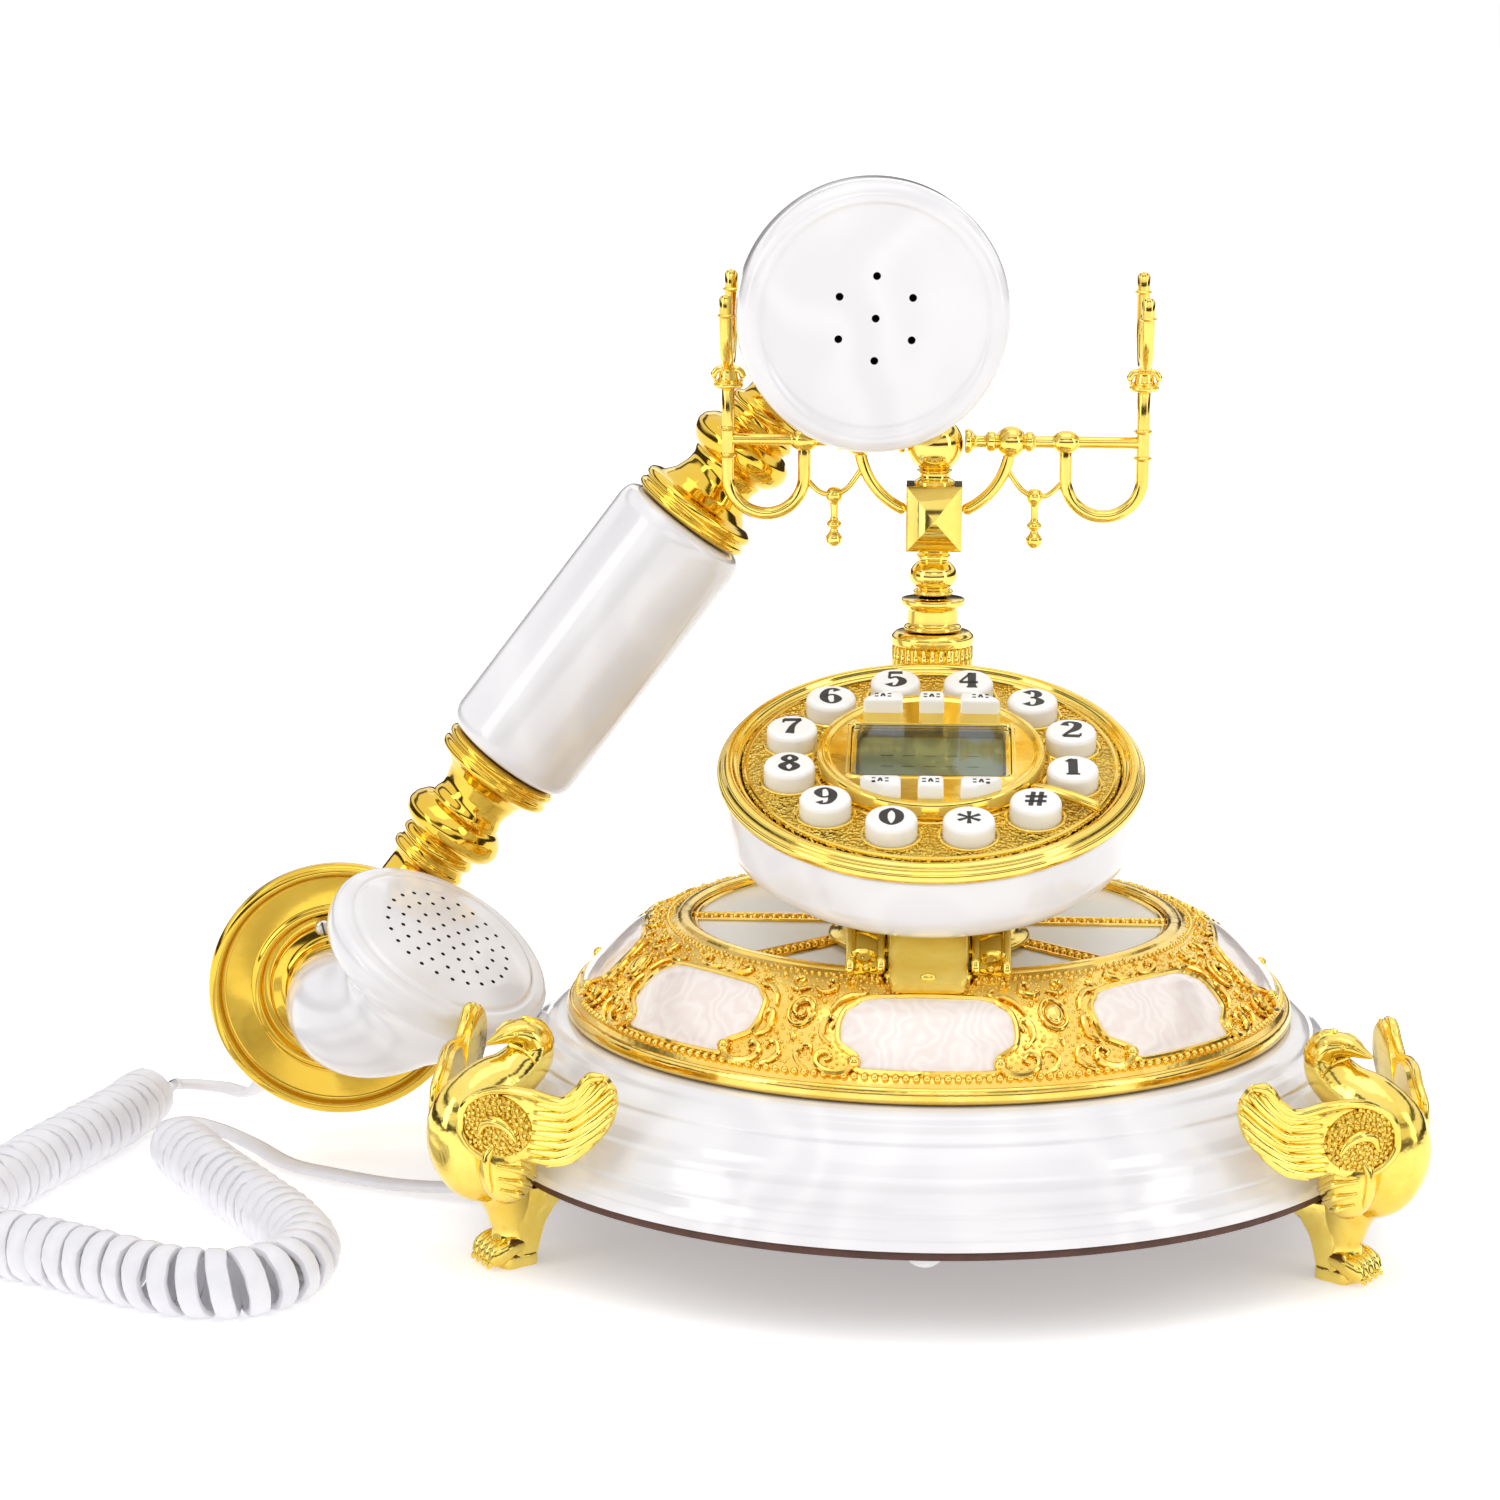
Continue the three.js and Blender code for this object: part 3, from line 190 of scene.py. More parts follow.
# ---------------------------------------------------------------- castings
@dataclass
class Casting:
    """The walls of one piece, gathered in its maker's frame before it is made."""

    place: Matrix
    points: list[Vector] = field(default_factory=list)
    faces: list[tuple[int, ...]] = field(default_factory=list)
    tones: list[int] = field(default_factory=list)

    def grid(self, rows: Sequence[Sequence[Vector]], around: bool = True, ring: bool = False,
             caps: bool = False, tone: int = 0, through: Matrix | None = None) -> None:
        """Joins rows of points with four-sided faces.

        Args:
            rows: rows of equally many points.
            around: whether each row closes on itself.
            ring: whether the last row joins the first.
            caps: whether the first and last rows are filled.
            tone: which of the piece's finishes the faces take.
            through: a matrix that the points go through first.
        """
        start, wide, tall = len(self.points), len(rows[0]), len(rows)
        for row in rows:
            self.points.extend(through @ Vector(p) if through else Vector(p) for p in row)
        made = []
        for i in range(tall if ring else tall - 1):
            for k in range(wide if around else wide - 1):
                a, b = start + i * wide, start + (i + 1) % tall * wide
                made.append((a + k, a + (k + 1) % wide, b + (k + 1) % wide, b + k))
        if caps:
            made.append(tuple(start + k for k in reversed(range(wide))))
            made.append(tuple(start + (tall - 1) * wide + k for k in range(wide)))
        self.faces.extend(made)
        self.tones.extend([tone] * len(made))

    def turned(self, outline: Outline, sides: int = 96, tone: int = 0,
               through: Matrix | None = None) -> None:
        """Turns an outline of (radius, height) pairs about Z, and closes it if it is off the axis."""
        rows = [around(r, sides, z) for r, z in outline]
        open_ends = outline[0][0] > 1e-6 or outline[-1][0] > 1e-6
        self.grid(rows, ring=open_ends, tone=tone, through=through)

    def tube(self, line: Sequence[Vector], radii: float | Sequence[float], sides: int = 10,
             closed: bool = False, tone: int = 0, through: Matrix | None = None,
             squash: float = 1.0, up: Vector | None = None) -> None:
        """Runs a round or oval rod along a line, with rounded ends when it is open.

        Args:
            line: the middle line.
            radii: one radius, or one for each point.
            sides: how many faces go round it.
            closed: whether the line is a ring.
            tone: which of the piece's finishes it takes.
            through: a matrix that the points go through.
            squash: the height across `up` as a share of the width.
            up: the way that the squashed side faces.
        """
        size = [radii] * len(line) if isinstance(radii, (int, float)) else list(radii)
        loop = list(line) + [line[0]] if closed else list(line)
        frames = carried_frames(loop, up)
        if closed:
            along = (line[1] - line[-1]).normalized()
            across = frames[0][0] - along * frames[0][0].dot(along)
            frames[0] = (across.normalized(), along.cross(across.normalized()))

        def section(middle: Vector, pair: tuple[Vector, Vector], radius: float) -> list[Vector]:
            """Returns the rod's outline at one point of its line."""
            turns = (2 * pi * k / sides for k in range(sides))
            return [middle + pair[0] * (radius * squash * cos(a)) + pair[1] * (radius * sin(a))
                for a in turns]

        rows = [section(p, frames[i], size[i]) for i, p in enumerate(line)]
        if not closed:
            first = (line[0] - line[1]).normalized() * size[0]
            last = (line[-1] - line[-2]).normalized() * size[-1]
            rows = ([section(line[0] + first * s, frames[0], size[0] * r) for s,
                r in ((0.75, 0.02), (0.5, 0.7))] + rows + [section(line[-1] + last * s, frames[-1],
                size[-1] * r) for s, r in ((0.5, 0.7), (0.75, 0.02))])
        self.grid(rows, ring=closed, caps=not closed, tone=tone, through=through)

    def ball(self, middle: Sequence[float], radius: float | Sequence[float], sides: int = 20,
             tone: int = 0, turn: Matrix | None = None) -> None:
        """Adds a ball, or an egg when three radii are given, turned by a matrix."""
        sizes = (radius,) * 3 if isinstance(radius, (int, float)) else radius
        rings = max(4, sides // 2)
        outline = [(sin(pi * k / rings), -cos(pi * k / rings)) for k in range(rings + 1)]
        outline[0], outline[-1] = (0, -1), (0, 1)
        through = Matrix.Translation(middle) @ (turn or Matrix.Identity(4)) @ Matrix.Diagonal((*sizes, 1))
        self.turned(outline, sides, tone, through)

    def lofted(self, sections: Sequence[tuple[Sequence[float], float, float]], side: Vector,
               steps: int = 4, sides: int = 20, power: float = 1.0, tone: int = 0) -> None:
        """Sweeps oval sections along a smooth line.

        Args:
            sections: the middle, half width along `side` and half height of each section.
            side: the way that the widths are measured.
            steps: how many stretches lie between two sections.
            sides: how many faces go round.
            power: 1 for ovals, less for squarer sections.
            tone: which of the piece's finishes it takes.
        """
        line = catmull([s[0] for s in sections], steps)
        sizes = catmull([(s[1], s[2], 0) for s in sections], steps)
        rows = []
        for i, middle in enumerate(line):
            along = (line[min(i + 1, len(line) - 1)] - line[max(i - 1, 0)]).normalized()
            up = side.cross(along).normalized()
            across = along.cross(up).normalized()
            row = []
            for k in range(sides):
                c, s = cos(2 * pi * k / sides), sin(2 * pi * k / sides)
                c, s = copysign(abs(c) ** power, c), copysign(abs(s) ** power, s)
                row.append(middle + across * (max(sizes[i].x, 0.05) * c) + up * (max(sizes[i].y, 0.05) * s))
            rows.append(row)
        self.grid(rows, caps=True, tone=tone)

    def slab(self, outline: Outline, bottom: float, top: float,
             ease: float = 0.3, tone: int = 0, through: Matrix | None = None) -> None:
        """Stands a closed flat outline from bottom to top, with its top edge rounded over."""
        count = len(outline)
        flat = [Vector(p) for p in outline]
        middle = sum(flat, Vector((0, 0))) / count

        def level(inset: float, z: float) -> list[Vector]:
            """Returns the outline drawn in by an inset, at a height."""
            row = []
            for i, p in enumerate(flat):
                way = flat[(i + 1) % count] - flat[i - 1]
                normal = Vector((-way.y, way.x)).normalized()
                if normal.dot(middle - p) < 0:
                    normal = -normal
                row.append(Vector((*(p + normal * inset), z)))
            return row

        rows = [level(0, bottom), level(0, top - ease)]
        rows += [level(ease * (1 - cos(a)), top - ease * (1 - sin(a)))
            for a in (pi * k / 8 for k in range(1, 5))]
        self.grid(rows, caps=True, tone=tone, through=through)

    def mesh(self, name: str) -> Mesh:
        """Makes the walls into a mesh in the row frame, closed and facing outwards."""
        mesh = bpy.data.meshes.new(name)
        to_row = Matrix.Scale(MM, 4) @ self.place
        mesh.from_pydata([to_row @ p for p in self.points], [], self.faces)
        mesh.polygons.foreach_set("material_index", self.tones)
        tidy_mesh(mesh)
        return mesh

    def make(self, name: str, body: Body | str, finishes: Sequence["Finish"],
             replaces: Iterable[str] = ()) -> Object:
        """Makes the piece, dresses it and sets it on its body.

        Args:
            name: the piece's name.
            body: the body that it rides on.
            finishes: its finishes, in the order of its tones.
            replaces: the frame's nodes that it stands for.

        Returns:
            The finished piece.
        """
        return dressed(name, self.mesh(name), body, finishes, replaces)


def tidy_mesh(mesh: Mesh) -> None:
    """Merges doubled points, closes poles, turns the faces outwards and smooths what isn't an edge."""
    work = bmesh.new()
    work.from_mesh(mesh)
    bmesh.ops.remove_doubles(work, verts=work.verts, dist=2e-6)
    bmesh.ops.dissolve_degenerate(work, edges=work.edges, dist=1e-7)
    bmesh.ops.recalc_face_normals(work, faces=work.faces)
    work.to_mesh(mesh)
    work.free()
    mesh.shade_smooth()
    mesh.set_sharp_from_angle(angle=SHARP)


def dressed(name: str, mesh: Mesh, body: Body | str, finishes: Sequence["Finish"],
            replaces: Iterable[str] = ()) -> Object:
    """Gives a mesh its object, finishes and body.

    Args:
        name: the piece's name.
        mesh: its mesh, in the row frame in metres.
        body: the body that it rides on.
        finishes: its finishes.
        replaces: the frame's nodes that it stands for.

    Returns:
        The piece.
    """
    if mesh.materials:
        mesh.materials.clear()
    for finish in finishes:
        mesh.materials.append(finish.material())
    piece = bpy.data.objects.new(name, mesh)
    bpy.context.scene.collection.objects.link(piece)
    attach(piece, body.value if isinstance(body, Body) else body)
    if replaces:
        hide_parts(*replaces)
    LOG.info("%s: %d faces on %s", name, len(mesh.polygons), body)
    return piece


# ---------------------------------------------------------------- node trees
def put(tree: NodeTree, kind: str, values: dict | None = None, **settings: object) -> Node:
    """Adds a node and fills or links its sockets.

    Args:
        tree: the tree that it goes into.
        kind: the node's type.
        values: a value or another node's output for each named or numbered socket.
        settings: the node's own choices.

    Returns:
        The node.
    """
    node = tree.nodes.new(kind)
    for key, value in settings.items():
        setattr(node, key, value)
    for key, value in (values or {}).items():
        if isinstance(value, NodeSocket):
            tree.links.new(value, node.inputs[key])
        else:
            node.inputs[key].default_value = value
    return node


def ramp(tree: NodeTree, factor: NodeSocket,
         stops: Sequence[tuple[float, tuple[float, ...]]]) -> NodeSocket:
    """Adds a colour ramp with the given stops and returns its colour."""
    node = put(tree, "ShaderNodeValToRGB", {"Fac": factor})
    while len(node.color_ramp.elements) < len(stops):
        node.color_ramp.elements.new(0.5)
    for element, (position, colour) in zip(node.color_ramp.elements, stops):
        element.position = position
        element.color = (*colour, 1)
    return node.outputs["Color"]


class GeometryTree:
    """A geometry tree with named inputs, run on one mesh at a time."""

    def __init__(self, name: str, inputs: Sequence[tuple[str, str]]) -> None:
        """Opens the tree and gives it its named inputs, as (name, socket type) pairs."""
        self.tree = bpy.data.node_groups.new(name, "GeometryNodeTree")
        face = self.tree.interface
        face.new_socket("Geometry", in_out="INPUT", socket_type="NodeSocketGeometry")
        self.keys = {label: face.new_socket(label, in_out="INPUT", socket_type=kind).identifier for label,
            kind in inputs}
        face.new_socket("Geometry", in_out="OUTPUT", socket_type="NodeSocketGeometry")
        self.given = self.tree.nodes.new("NodeGroupInput").outputs

    def close(self, geometry: NodeSocket) -> None:
        """Realizes what was made, gives it its metal and ends the tree."""
        real = put(self.tree, "GeometryNodeRealizeInstances", {"Geometry": geometry})
        smooth = put(self.tree, "GeometryNodeSetShadeSmooth", {"Geometry": real.outputs[0]})
        metal = put(self.tree, "GeometryNodeSetMaterial", {"Geometry": smooth.outputs[0],
            "Material": self.given["Metal"]})
        put(self.tree, "NodeGroupOutput", {"Geometry": metal.outputs[0]})

    def run(self, name: str, mesh: Mesh, **values: object) -> Mesh:
        """Runs the tree on a mesh and returns the plain mesh that comes out."""
        source = bpy.data.objects.new(name, mesh)
        bpy.context.scene.collection.objects.link(source)
        modifier = source.modifiers.new(name, "NODES")
        modifier.node_group = self.tree
        for label, value in values.items():
            modifier[self.keys[label.replace("_", " ")]] = value
        shown = source.evaluated_get(bpy.context.evaluated_depsgraph_get())
        result = bpy.data.meshes.new_from_object(shown)
        source.modifiers.clear()
        bpy.data.objects.remove(source)
        bpy.data.meshes.remove(mesh)
        return result


def bead_tree() -> GeometryTree:
    """Builds the tree that sets beads at an even pitch along a piece's lines."""
    made = GeometryTree("bead_row", [("Radius", "NodeSocketFloat"), ("Pitch", "NodeSocketFloat"),
        ("Metal", "NodeSocketMaterial")])
    tree, given = made.tree, made.given
    line = put(tree, "GeometryNodeMeshToCurve", {"Mesh": given["Geometry"]})
    even = put(tree, "GeometryNodeResampleCurve", {"Curve": line.outputs[0], "Length": given["Pitch"]},
        mode="LENGTH")
    bead = put(tree, "GeometryNodeMeshIcoSphere", {"Radius": given["Radius"], "Subdivisions": 2})
    row = put(tree, "GeometryNodeInstanceOnPoints", {"Points": even.outputs[0], "Instance": bead.outputs[0]})
    made.close(row.outputs[0])
    return made


def pebble_tree() -> GeometryTree:
    """Builds the tree that strews small pebbles of uneven size over a piece's faces."""
    made = GeometryTree("pebble_ground", [("Radius", "NodeSocketFloat"), ("Spacing", "NodeSocketFloat"),
        ("Density", "NodeSocketFloat"), ("Seed", "NodeSocketInt"), ("Metal", "NodeSocketMaterial")])
    tree, given = made.tree, made.given
    spots = put(tree, "GeometryNodeDistributePointsOnFaces", {"Mesh": given["Geometry"],
        "Distance Min": given["Spacing"], "Density Max": given["Density"], "Seed": given["Seed"]},
        distribute_method="POISSON")
    size = put(tree, "FunctionNodeRandomValue", {2: 0.65, 3: 1.15, "Seed": given["Seed"]}, data_type="FLOAT")
    pebble = put(tree, "GeometryNodeMeshIcoSphere", {"Radius": given["Radius"], "Subdivisions": 1})
    strewn = put(tree, "GeometryNodeInstanceOnPoints", {"Points": spots.outputs["Points"],
        "Instance": pebble.outputs[0], "Scale": size.outputs[1]})
    made.close(strewn.outputs[0])
    return made


def peg_tree() -> GeometryTree:
    """Builds the tree that stands a peg along Z on each point of a piece."""
    made = GeometryTree("pegs", [("Radius", "NodeSocketFloat"), ("Length", "NodeSocketFloat"),
        ("Metal", "NodeSocketMaterial")])
    tree, given = made.tree, made.given
    peg = put(tree, "GeometryNodeMeshCylinder", {"Vertices": 12, "Radius": given["Radius"],
        "Depth": given["Length"]})
    row = put(tree, "GeometryNodeInstanceOnPoints", {"Points": given["Geometry"], "Instance": peg.outputs[0]})
    made.close(row.outputs[0])
    return made


TREES: dict[str, GeometryTree] = {}


def tree_named(name: str) -> GeometryTree:
    """Returns one of the geometry trees, built the first time it is asked for."""
    if name not in TREES:
        TREES[name] = {"beads": bead_tree, "pebbles": pebble_tree, "pegs": peg_tree}[name]()
    return TREES[name]


def line_mesh(place: Matrix, lines: Iterable[Sequence[Vector]], closed: bool = False) -> Mesh:
    """Makes lines of a maker's frame into a mesh of edges in the row frame."""
    points, edges = [], []
    to_row = Matrix.Scale(MM, 4) @ place
    for line in lines:
        start = len(points)
        points.extend(to_row @ Vector(p) for p in line)
        edges.extend((k, k + 1) for k in range(start, len(points) - 1))
        if closed:
            edges.append((len(points) - 1, start))
    mesh = bpy.data.meshes.new("lines")
    mesh.from_pydata(points, edges, [])
    return mesh


def beads(name: str, place: Matrix, lines: Iterable[Sequence[Vector]], radius: float, pitch: float,
          finish: "Finish", closed: bool = False) -> Mesh:
    """Sets beads along lines.

    Args:
        name: the row's name.
        place: the frame that the lines are in.
        lines: the middle lines of the rows.
        radius: a bead's radius.
        pitch: the distance between two beads.
        finish: the beads' finish.
        closed: whether each line is a ring.

    Returns:
        The beads as a plain mesh in the row frame.
    """
    mesh = line_mesh(place, lines, closed)
    return tree_named("beads").run(name, mesh, Radius=radius * MM, Pitch=pitch * MM, Metal=finish.material())


def drilled(piece: Object, place: Matrix, spots: Outline, radius: float,
            depth: float, finish: "Finish") -> None:
    """Drills round holes along a frame's Z through a piece.

    Args:
        piece: the piece to drill.
        place: a frame whose origin lies on the drilled face.
        spots: the holes' places on that face.
        radius: a hole's radius.
        depth: how deep they go.
        finish: the finish of the holes' walls, a near-black painted shade.
    """
    flat = bpy.data.meshes.new("spots")
    flat.from_pydata([(x * MM, y * MM, -depth / 2 * MM) for x, y in spots], [], [])
    pegs = tree_named("pegs").run("pegs", flat, Radius=radius * MM, Length=2 * depth * MM,
        Metal=finish.material())
    origin = place.copy()
    origin.translation = place.translation * MM
    pegs.transform(origin)
    drill = bpy.data.objects.new("drill", pegs)
    bpy.context.scene.collection.objects.link(drill)
    cut = piece.modifiers.new("holes", "BOOLEAN")
    cut.operation, cut.solver, cut.object = "DIFFERENCE", "EXACT", drill
    shown = piece.evaluated_get(bpy.context.evaluated_depsgraph_get())
    result = bpy.data.meshes.new_from_object(shown)
    piece.modifiers.clear()
    bpy.data.objects.remove(drill)
    result.set_sharp_from_angle(angle=SHARP)
    piece.data = result


def turning(name: str, place: Matrix, outline: Outline, ease: float, sides: int, body: Body | str,
            finish: "Finish", node: str, steps: int = 3) -> None:
    """Makes a piece that is a single turning.

    Args:
        name: the piece's name.
        place: the frame that it is turned in, about Z.
        outline: its (radius, height) corners.
        ease: how far from each corner its fillet starts.
        sides: how many faces go round it.
        body: the body that it rides on.
        finish: its finish.
        node: the frame's node that it stands for.
        steps: how many stretches each fillet has.
    """
    casting = Casting(place)
    casting.turned(eased(outline, ease, steps), sides)
    casting.make(name, body, [finish], [node])


def joined(name: str, meshes: Sequence[Mesh], body: Body | str, finishes: Sequence["Finish"],
           replaces: Iterable[str] = ()) -> Object:
    """Joins meshes of one finish into a single piece."""
    work = bmesh.new()
    for mesh in meshes:
        work.from_mesh(mesh)
    whole = bpy.data.meshes.new(name)
    work.to_mesh(whole)
    work.free()
    return dressed(name, whole, body, finishes, replaces)


# ---------------------------------------------------------------- finishes
class Recipe:
    """A shader group that several finishes share, built once."""

    made: dict[str, NodeTree] = {}

    def __init__(self, name: str, inputs: Sequence[tuple[str, str]],
                 outputs: Sequence[tuple[str, str]]) -> None:
        """Opens the group with its named inputs and outputs, as (name, kind) pairs."""
        self.tree = bpy.data.node_groups.new(name, "ShaderNodeTree")
        for label, kind in inputs:
            self.tree.interface.new_socket(label, in_out="INPUT", socket_type=f"NodeSocket{kind}")
        for label, kind in outputs:
            self.tree.interface.new_socket(label, in_out="OUTPUT", socket_type=f"NodeSocket{kind}")
        self.given = self.tree.nodes.new("NodeGroupInput").outputs

    def close(self, **outputs: NodeSocket) -> NodeTree:
        """Wires the group's outputs and returns its tree."""
        put(self.tree, "NodeGroupOutput", outputs)
        return self.tree


def handling_recipe() -> NodeTree:
    """Wipe marks and tarnish: a patchy roughness and a mask between two values."""
    made = Recipe("handling", [("Place", "Vector"), ("Scale", "Float"), ("Clean", "Float"),
        ("Wiped", "Float")], [("Roughness", "Float"), ("Mask", "Float")])
    tree, given = made.tree, made.given
    patches = put(tree, "ShaderNodeTexNoise", {"Vector": given["Place"], "Scale": given["Scale"],
        "Detail": 4.0, "Roughness": 0.6, "Distortion": 0.4})
    mask = put(tree, "ShaderNodeMapRange", {"Value": patches.outputs["Fac"], "From Min": 0.35,
        "From Max": 0.7})
    rough = put(tree, "ShaderNodeMapRange", {"Value": mask.outputs[0], "To Min": given["Clean"],
        "To Max": given["Wiped"]})
    return made.close(Roughness=rough.outputs[0], Mask=mask.outputs[0])


def casting_recipe() -> NodeTree:
    """The skin of a casting: fine pits between raised cells, on a slow unevenness."""
    made = Recipe("casting_skin", [("Place", "Vector"), ("Cells", "Float"), ("Waves", "Float"),
        ("Depth", "Float")], [("Height", "Float"), ("Pits", "Float")])
    tree, given = made.tree, made.given
    cells = put(tree, "ShaderNodeTexVoronoi", {"Vector": given["Place"], "Scale": given["Cells"]},
        feature="SMOOTH_F1")
    dome = put(tree, "ShaderNodeMapRange", {"Value": cells.outputs["Distance"], "From Min": 0.1,
        "From Max": 0.6, "To Min": 1.0, "To Max": 0.0})
    waves = put(tree, "ShaderNodeTexNoise", {"Vector": given["Place"], "Scale": given["Waves"],
        "Detail": 2.0})
    deep = put(tree, "ShaderNodeMath", {0: dome.outputs[0], 1: given["Depth"]}, operation="MULTIPLY")
    both = put(tree, "ShaderNodeMath", {0: deep.outputs[0], 1: waves.outputs["Fac"]}, operation="ADD")
    return made.close(Height=both.outputs[0], Pits=dome.outputs[0])


def nacre_recipe() -> NodeTree:
    """Mother of pearl: silky curved bands of three tints and the faint ripples that go with them; the bands
    of the palest tint are the nacre's pattern and, on the big white pieces, painted reflection streaks too.
    """
    made = Recipe("nacre", [("Place", "Vector"), ("Scale", "Float"), ("Swirl", "Float"), ("Body", "Color"),
        ("Blush", "Color"), ("Gleam", "Color")], [("Colour", "Color"), ("Height", "Float")])
    tree, given = made.tree, made.given
    drift = put(tree, "ShaderNodeTexNoise", {"Vector": given["Place"], "Scale": given["Scale"], "Detail": 2.0,
        "Distortion": given["Swirl"]})
    silk = put(tree, "ShaderNodeTexWave", {"Vector": given["Place"], "Scale": given["Scale"],
        "Distortion": 22.0, "Detail": 2.0, "Detail Scale": 1.1})
    body = put(tree, "ShaderNodeMix", {"Factor": drift.outputs["Fac"], 6: given["Body"], 7: given["Blush"]},
        data_type="RGBA")
    sharp = put(tree, "ShaderNodeMath", {0: silk.outputs["Fac"], 1: 1.6}, operation="POWER")
    soft = put(tree, "ShaderNodeMath", {0: sharp.outputs[0], 1: 0.5}, operation="MULTIPLY")
    # The palest tint along the bands: nacre pattern, and on the big white pieces painted reflection streaks.
    full = put(tree, "ShaderNodeMix", {"Factor": soft.outputs[0], 6: body.outputs[2], 7: given["Gleam"]},
        data_type="RGBA")
    return made.close(Colour=full.outputs[2], Height=silk.outputs["Fac"])


RECIPES = {"handling": handling_recipe, "casting": casting_recipe, "nacre": nacre_recipe}


def recipe(tree: NodeTree, name: str, values: dict) -> Node:
    """Places a shared shader group with its own values."""
    if name not in Recipe.made:
        Recipe.made[name] = RECIPES[name]()
    return put(tree, "ShaderNodeGroup", values, node_tree=Recipe.made[name])


class Surface(Enum):
    """The families of finish."""

    METAL = "metal"
    PEARL = "pearl"
    PLASTIC = "plastic"
    CLEAR = "clear"


@dataclass(frozen=True)
class Finish:
    """One finish of the phone, with what its family's recipe needs."""

    name: str
    slot: str
    kind: Surface
    colour: tuple[float, float, float]
    second: tuple[float, float, float]
    gleam: tuple[float, float, float] = (1.0, 1.0, 1.0)
    clean: float = 0.1
    wiped: float = 0.2
    scale: float = 40.0
    cells: float = 900.0
    depth: float = 0.0
    bump: float = 0.05
    coat: float = 0.0

    def material(self) -> Material:
        """Returns the finish's material, mixed the first time it is asked for."""
        return bpy.data.materials.get(self.name) or self.mixed()

    def mixed(self) -> Material:
        """Mixes the material from the shared recipes."""
        material = bpy.data.materials.new(self.name)
        material.use_nodes = True
        tree = material.node_tree
        tree.nodes.clear()
        shader = put(tree, "ShaderNodeBsdfPrincipled", {"Metallic": 1.0
            if self.kind is Surface.METAL else 0.0})
        put(tree, "ShaderNodeOutputMaterial", {"Surface": shader.outputs[0]})
        place = put(tree, "ShaderNodeTexCoord").outputs["Object"]
        wear = recipe(tree, "handling", {"Place": place, "Scale": self.scale, "Clean": self.clean,
            "Wiped": self.wiped})
        tree.links.new(wear.outputs["Roughness"], shader.inputs["Roughness"])
        colour, height = self.coloured(tree, place, wear.outputs["Mask"])
        tree.links.new(colour, shader.inputs["Base Color"])
        relief = put(tree, "ShaderNodeBump", {"Height": height, "Strength": self.bump, "Distance": 0.001})
        tree.links.new(relief.outputs[0], shader.inputs["Normal"])
        self.tuned(shader)
        return material

    def coloured(self, tree: NodeTree, place: NodeSocket,
                 mask: NodeSocket) -> tuple[NodeSocket, NodeSocket]:
        """Wires the colour and the height of the finish and returns both."""
        if self.kind is Surface.PEARL:
            nacre = recipe(tree, "nacre", {"Place": place, "Scale": self.cells, "Swirl": self.depth,
                "Body": (*self.colour, 1), "Blush": (*self.second, 1), "Gleam": (*self.gleam, 1)})
            return nacre.outputs["Colour"], nacre.outputs["Height"]
        skin = recipe(tree, "casting", {"Place": place, "Cells": self.cells, "Waves": self.scale * 4,
            "Depth": self.depth})
        tint = put(tree, "ShaderNodeMix", {"Factor": mask, 6: (*self.colour, 1), 7: (*self.second, 1)},
            data_type="RGBA")
        if self.depth == 0:
            return tint.outputs[2], skin.outputs["Height"]
        # The stipple's pits take the darker second colour: painted shade in the hollows between the raised
        # cells.
        pit_shade = put(tree, "ShaderNodeMix", {"Factor": skin.outputs["Pits"], 6: (*self.second, 1),
            7: tint.outputs[2]}, data_type="RGBA")
        return pit_shade.outputs[2], skin.outputs["Height"]

    def tuned(self, shader: Node) -> None:
        """Sets what is the same all over the finish."""
        if self.coat:
            shader.inputs["Coat Weight"].default_value = self.coat
            shader.inputs["Coat Roughness"].default_value = 0.04
        if self.kind is Surface.CLEAR:
            shader.inputs["Transmission Weight"].default_value = 1.0
            shader.inputs["IOR"].default_value = 1.45
        if self.kind is Surface.PEARL:
            shader.inputs["Subsurface Weight"].default_value = 0.0
            shader.inputs["Specular IOR Level"].default_value = 0.55


METAL, PEARLY, PLASTIC, CLEAR = Surface.METAL, Surface.PEARL, Surface.PLASTIC, Surface.CLEAR

GILT = Finish("polished_gilt", "gold", METAL, (0.95, 0.73, 0.19), (0.88, 0.62, 0.12), clean=0.07, wiped=0.15,
    scale=60, bump=0.03)
CAST_GILT = Finish("cast_gilt", "gold", METAL, (0.95, 0.75, 0.19), (0.86, 0.60, 0.10), clean=0.10, wiped=0.2,
    scale=90, bump=0.12)
# Its darker second colour also fills the stipple's pits as painted shade.
STIPPLED_GILT = Finish("stippled_gilt", "satin_gold", METAL, (0.94, 0.72, 0.18), (0.70, 0.46, 0.07),
    clean=0.16, wiped=0.28, scale=80, cells=1300, depth=1.6, bump=0.6)
RING_GILT = Finish("ring_gilt", "satin_gold", METAL, (0.96, 0.70, 0.18), (0.88, 0.57, 0.10), clean=0.12,
    wiped=0.22, scale=90, bump=0.08)
DEEP_GILT = Finish("deep_gilt", "handset_gold", METAL, (0.86, 0.58, 0.08), (0.76, 0.47, 0.05), clean=0.06,
    wiped=0.13, scale=50, bump=0.02)
STEEL = Finish("screw_steel", "gold", METAL, (0.72, 0.68, 0.60), (0.5, 0.47, 0.42), clean=0.2, wiped=0.35,
    scale=200, bump=0.1)
# The base's broad soft bands of the paler gleam tint are partly painted reflection streaks.
PEARL = Finish("white_pearl", "pearl", PEARLY, (0.76, 0.75, 0.77), (0.80, 0.78, 0.80), (0.88, 0.87, 0.88),
    clean=0.16, wiped=0.24, scale=25, cells=16, depth=1.5, bump=0.004, coat=0.8)
DISC_PEARL = Finish("disc_pearl", "disc_pearl", PEARLY, (0.74, 0.72, 0.68), (0.83, 0.80, 0.74),
    (0.93, 0.92, 0.89), clean=0.14, wiped=0.25, scale=60, cells=110, depth=3.0, bump=0.02, coat=0.7)
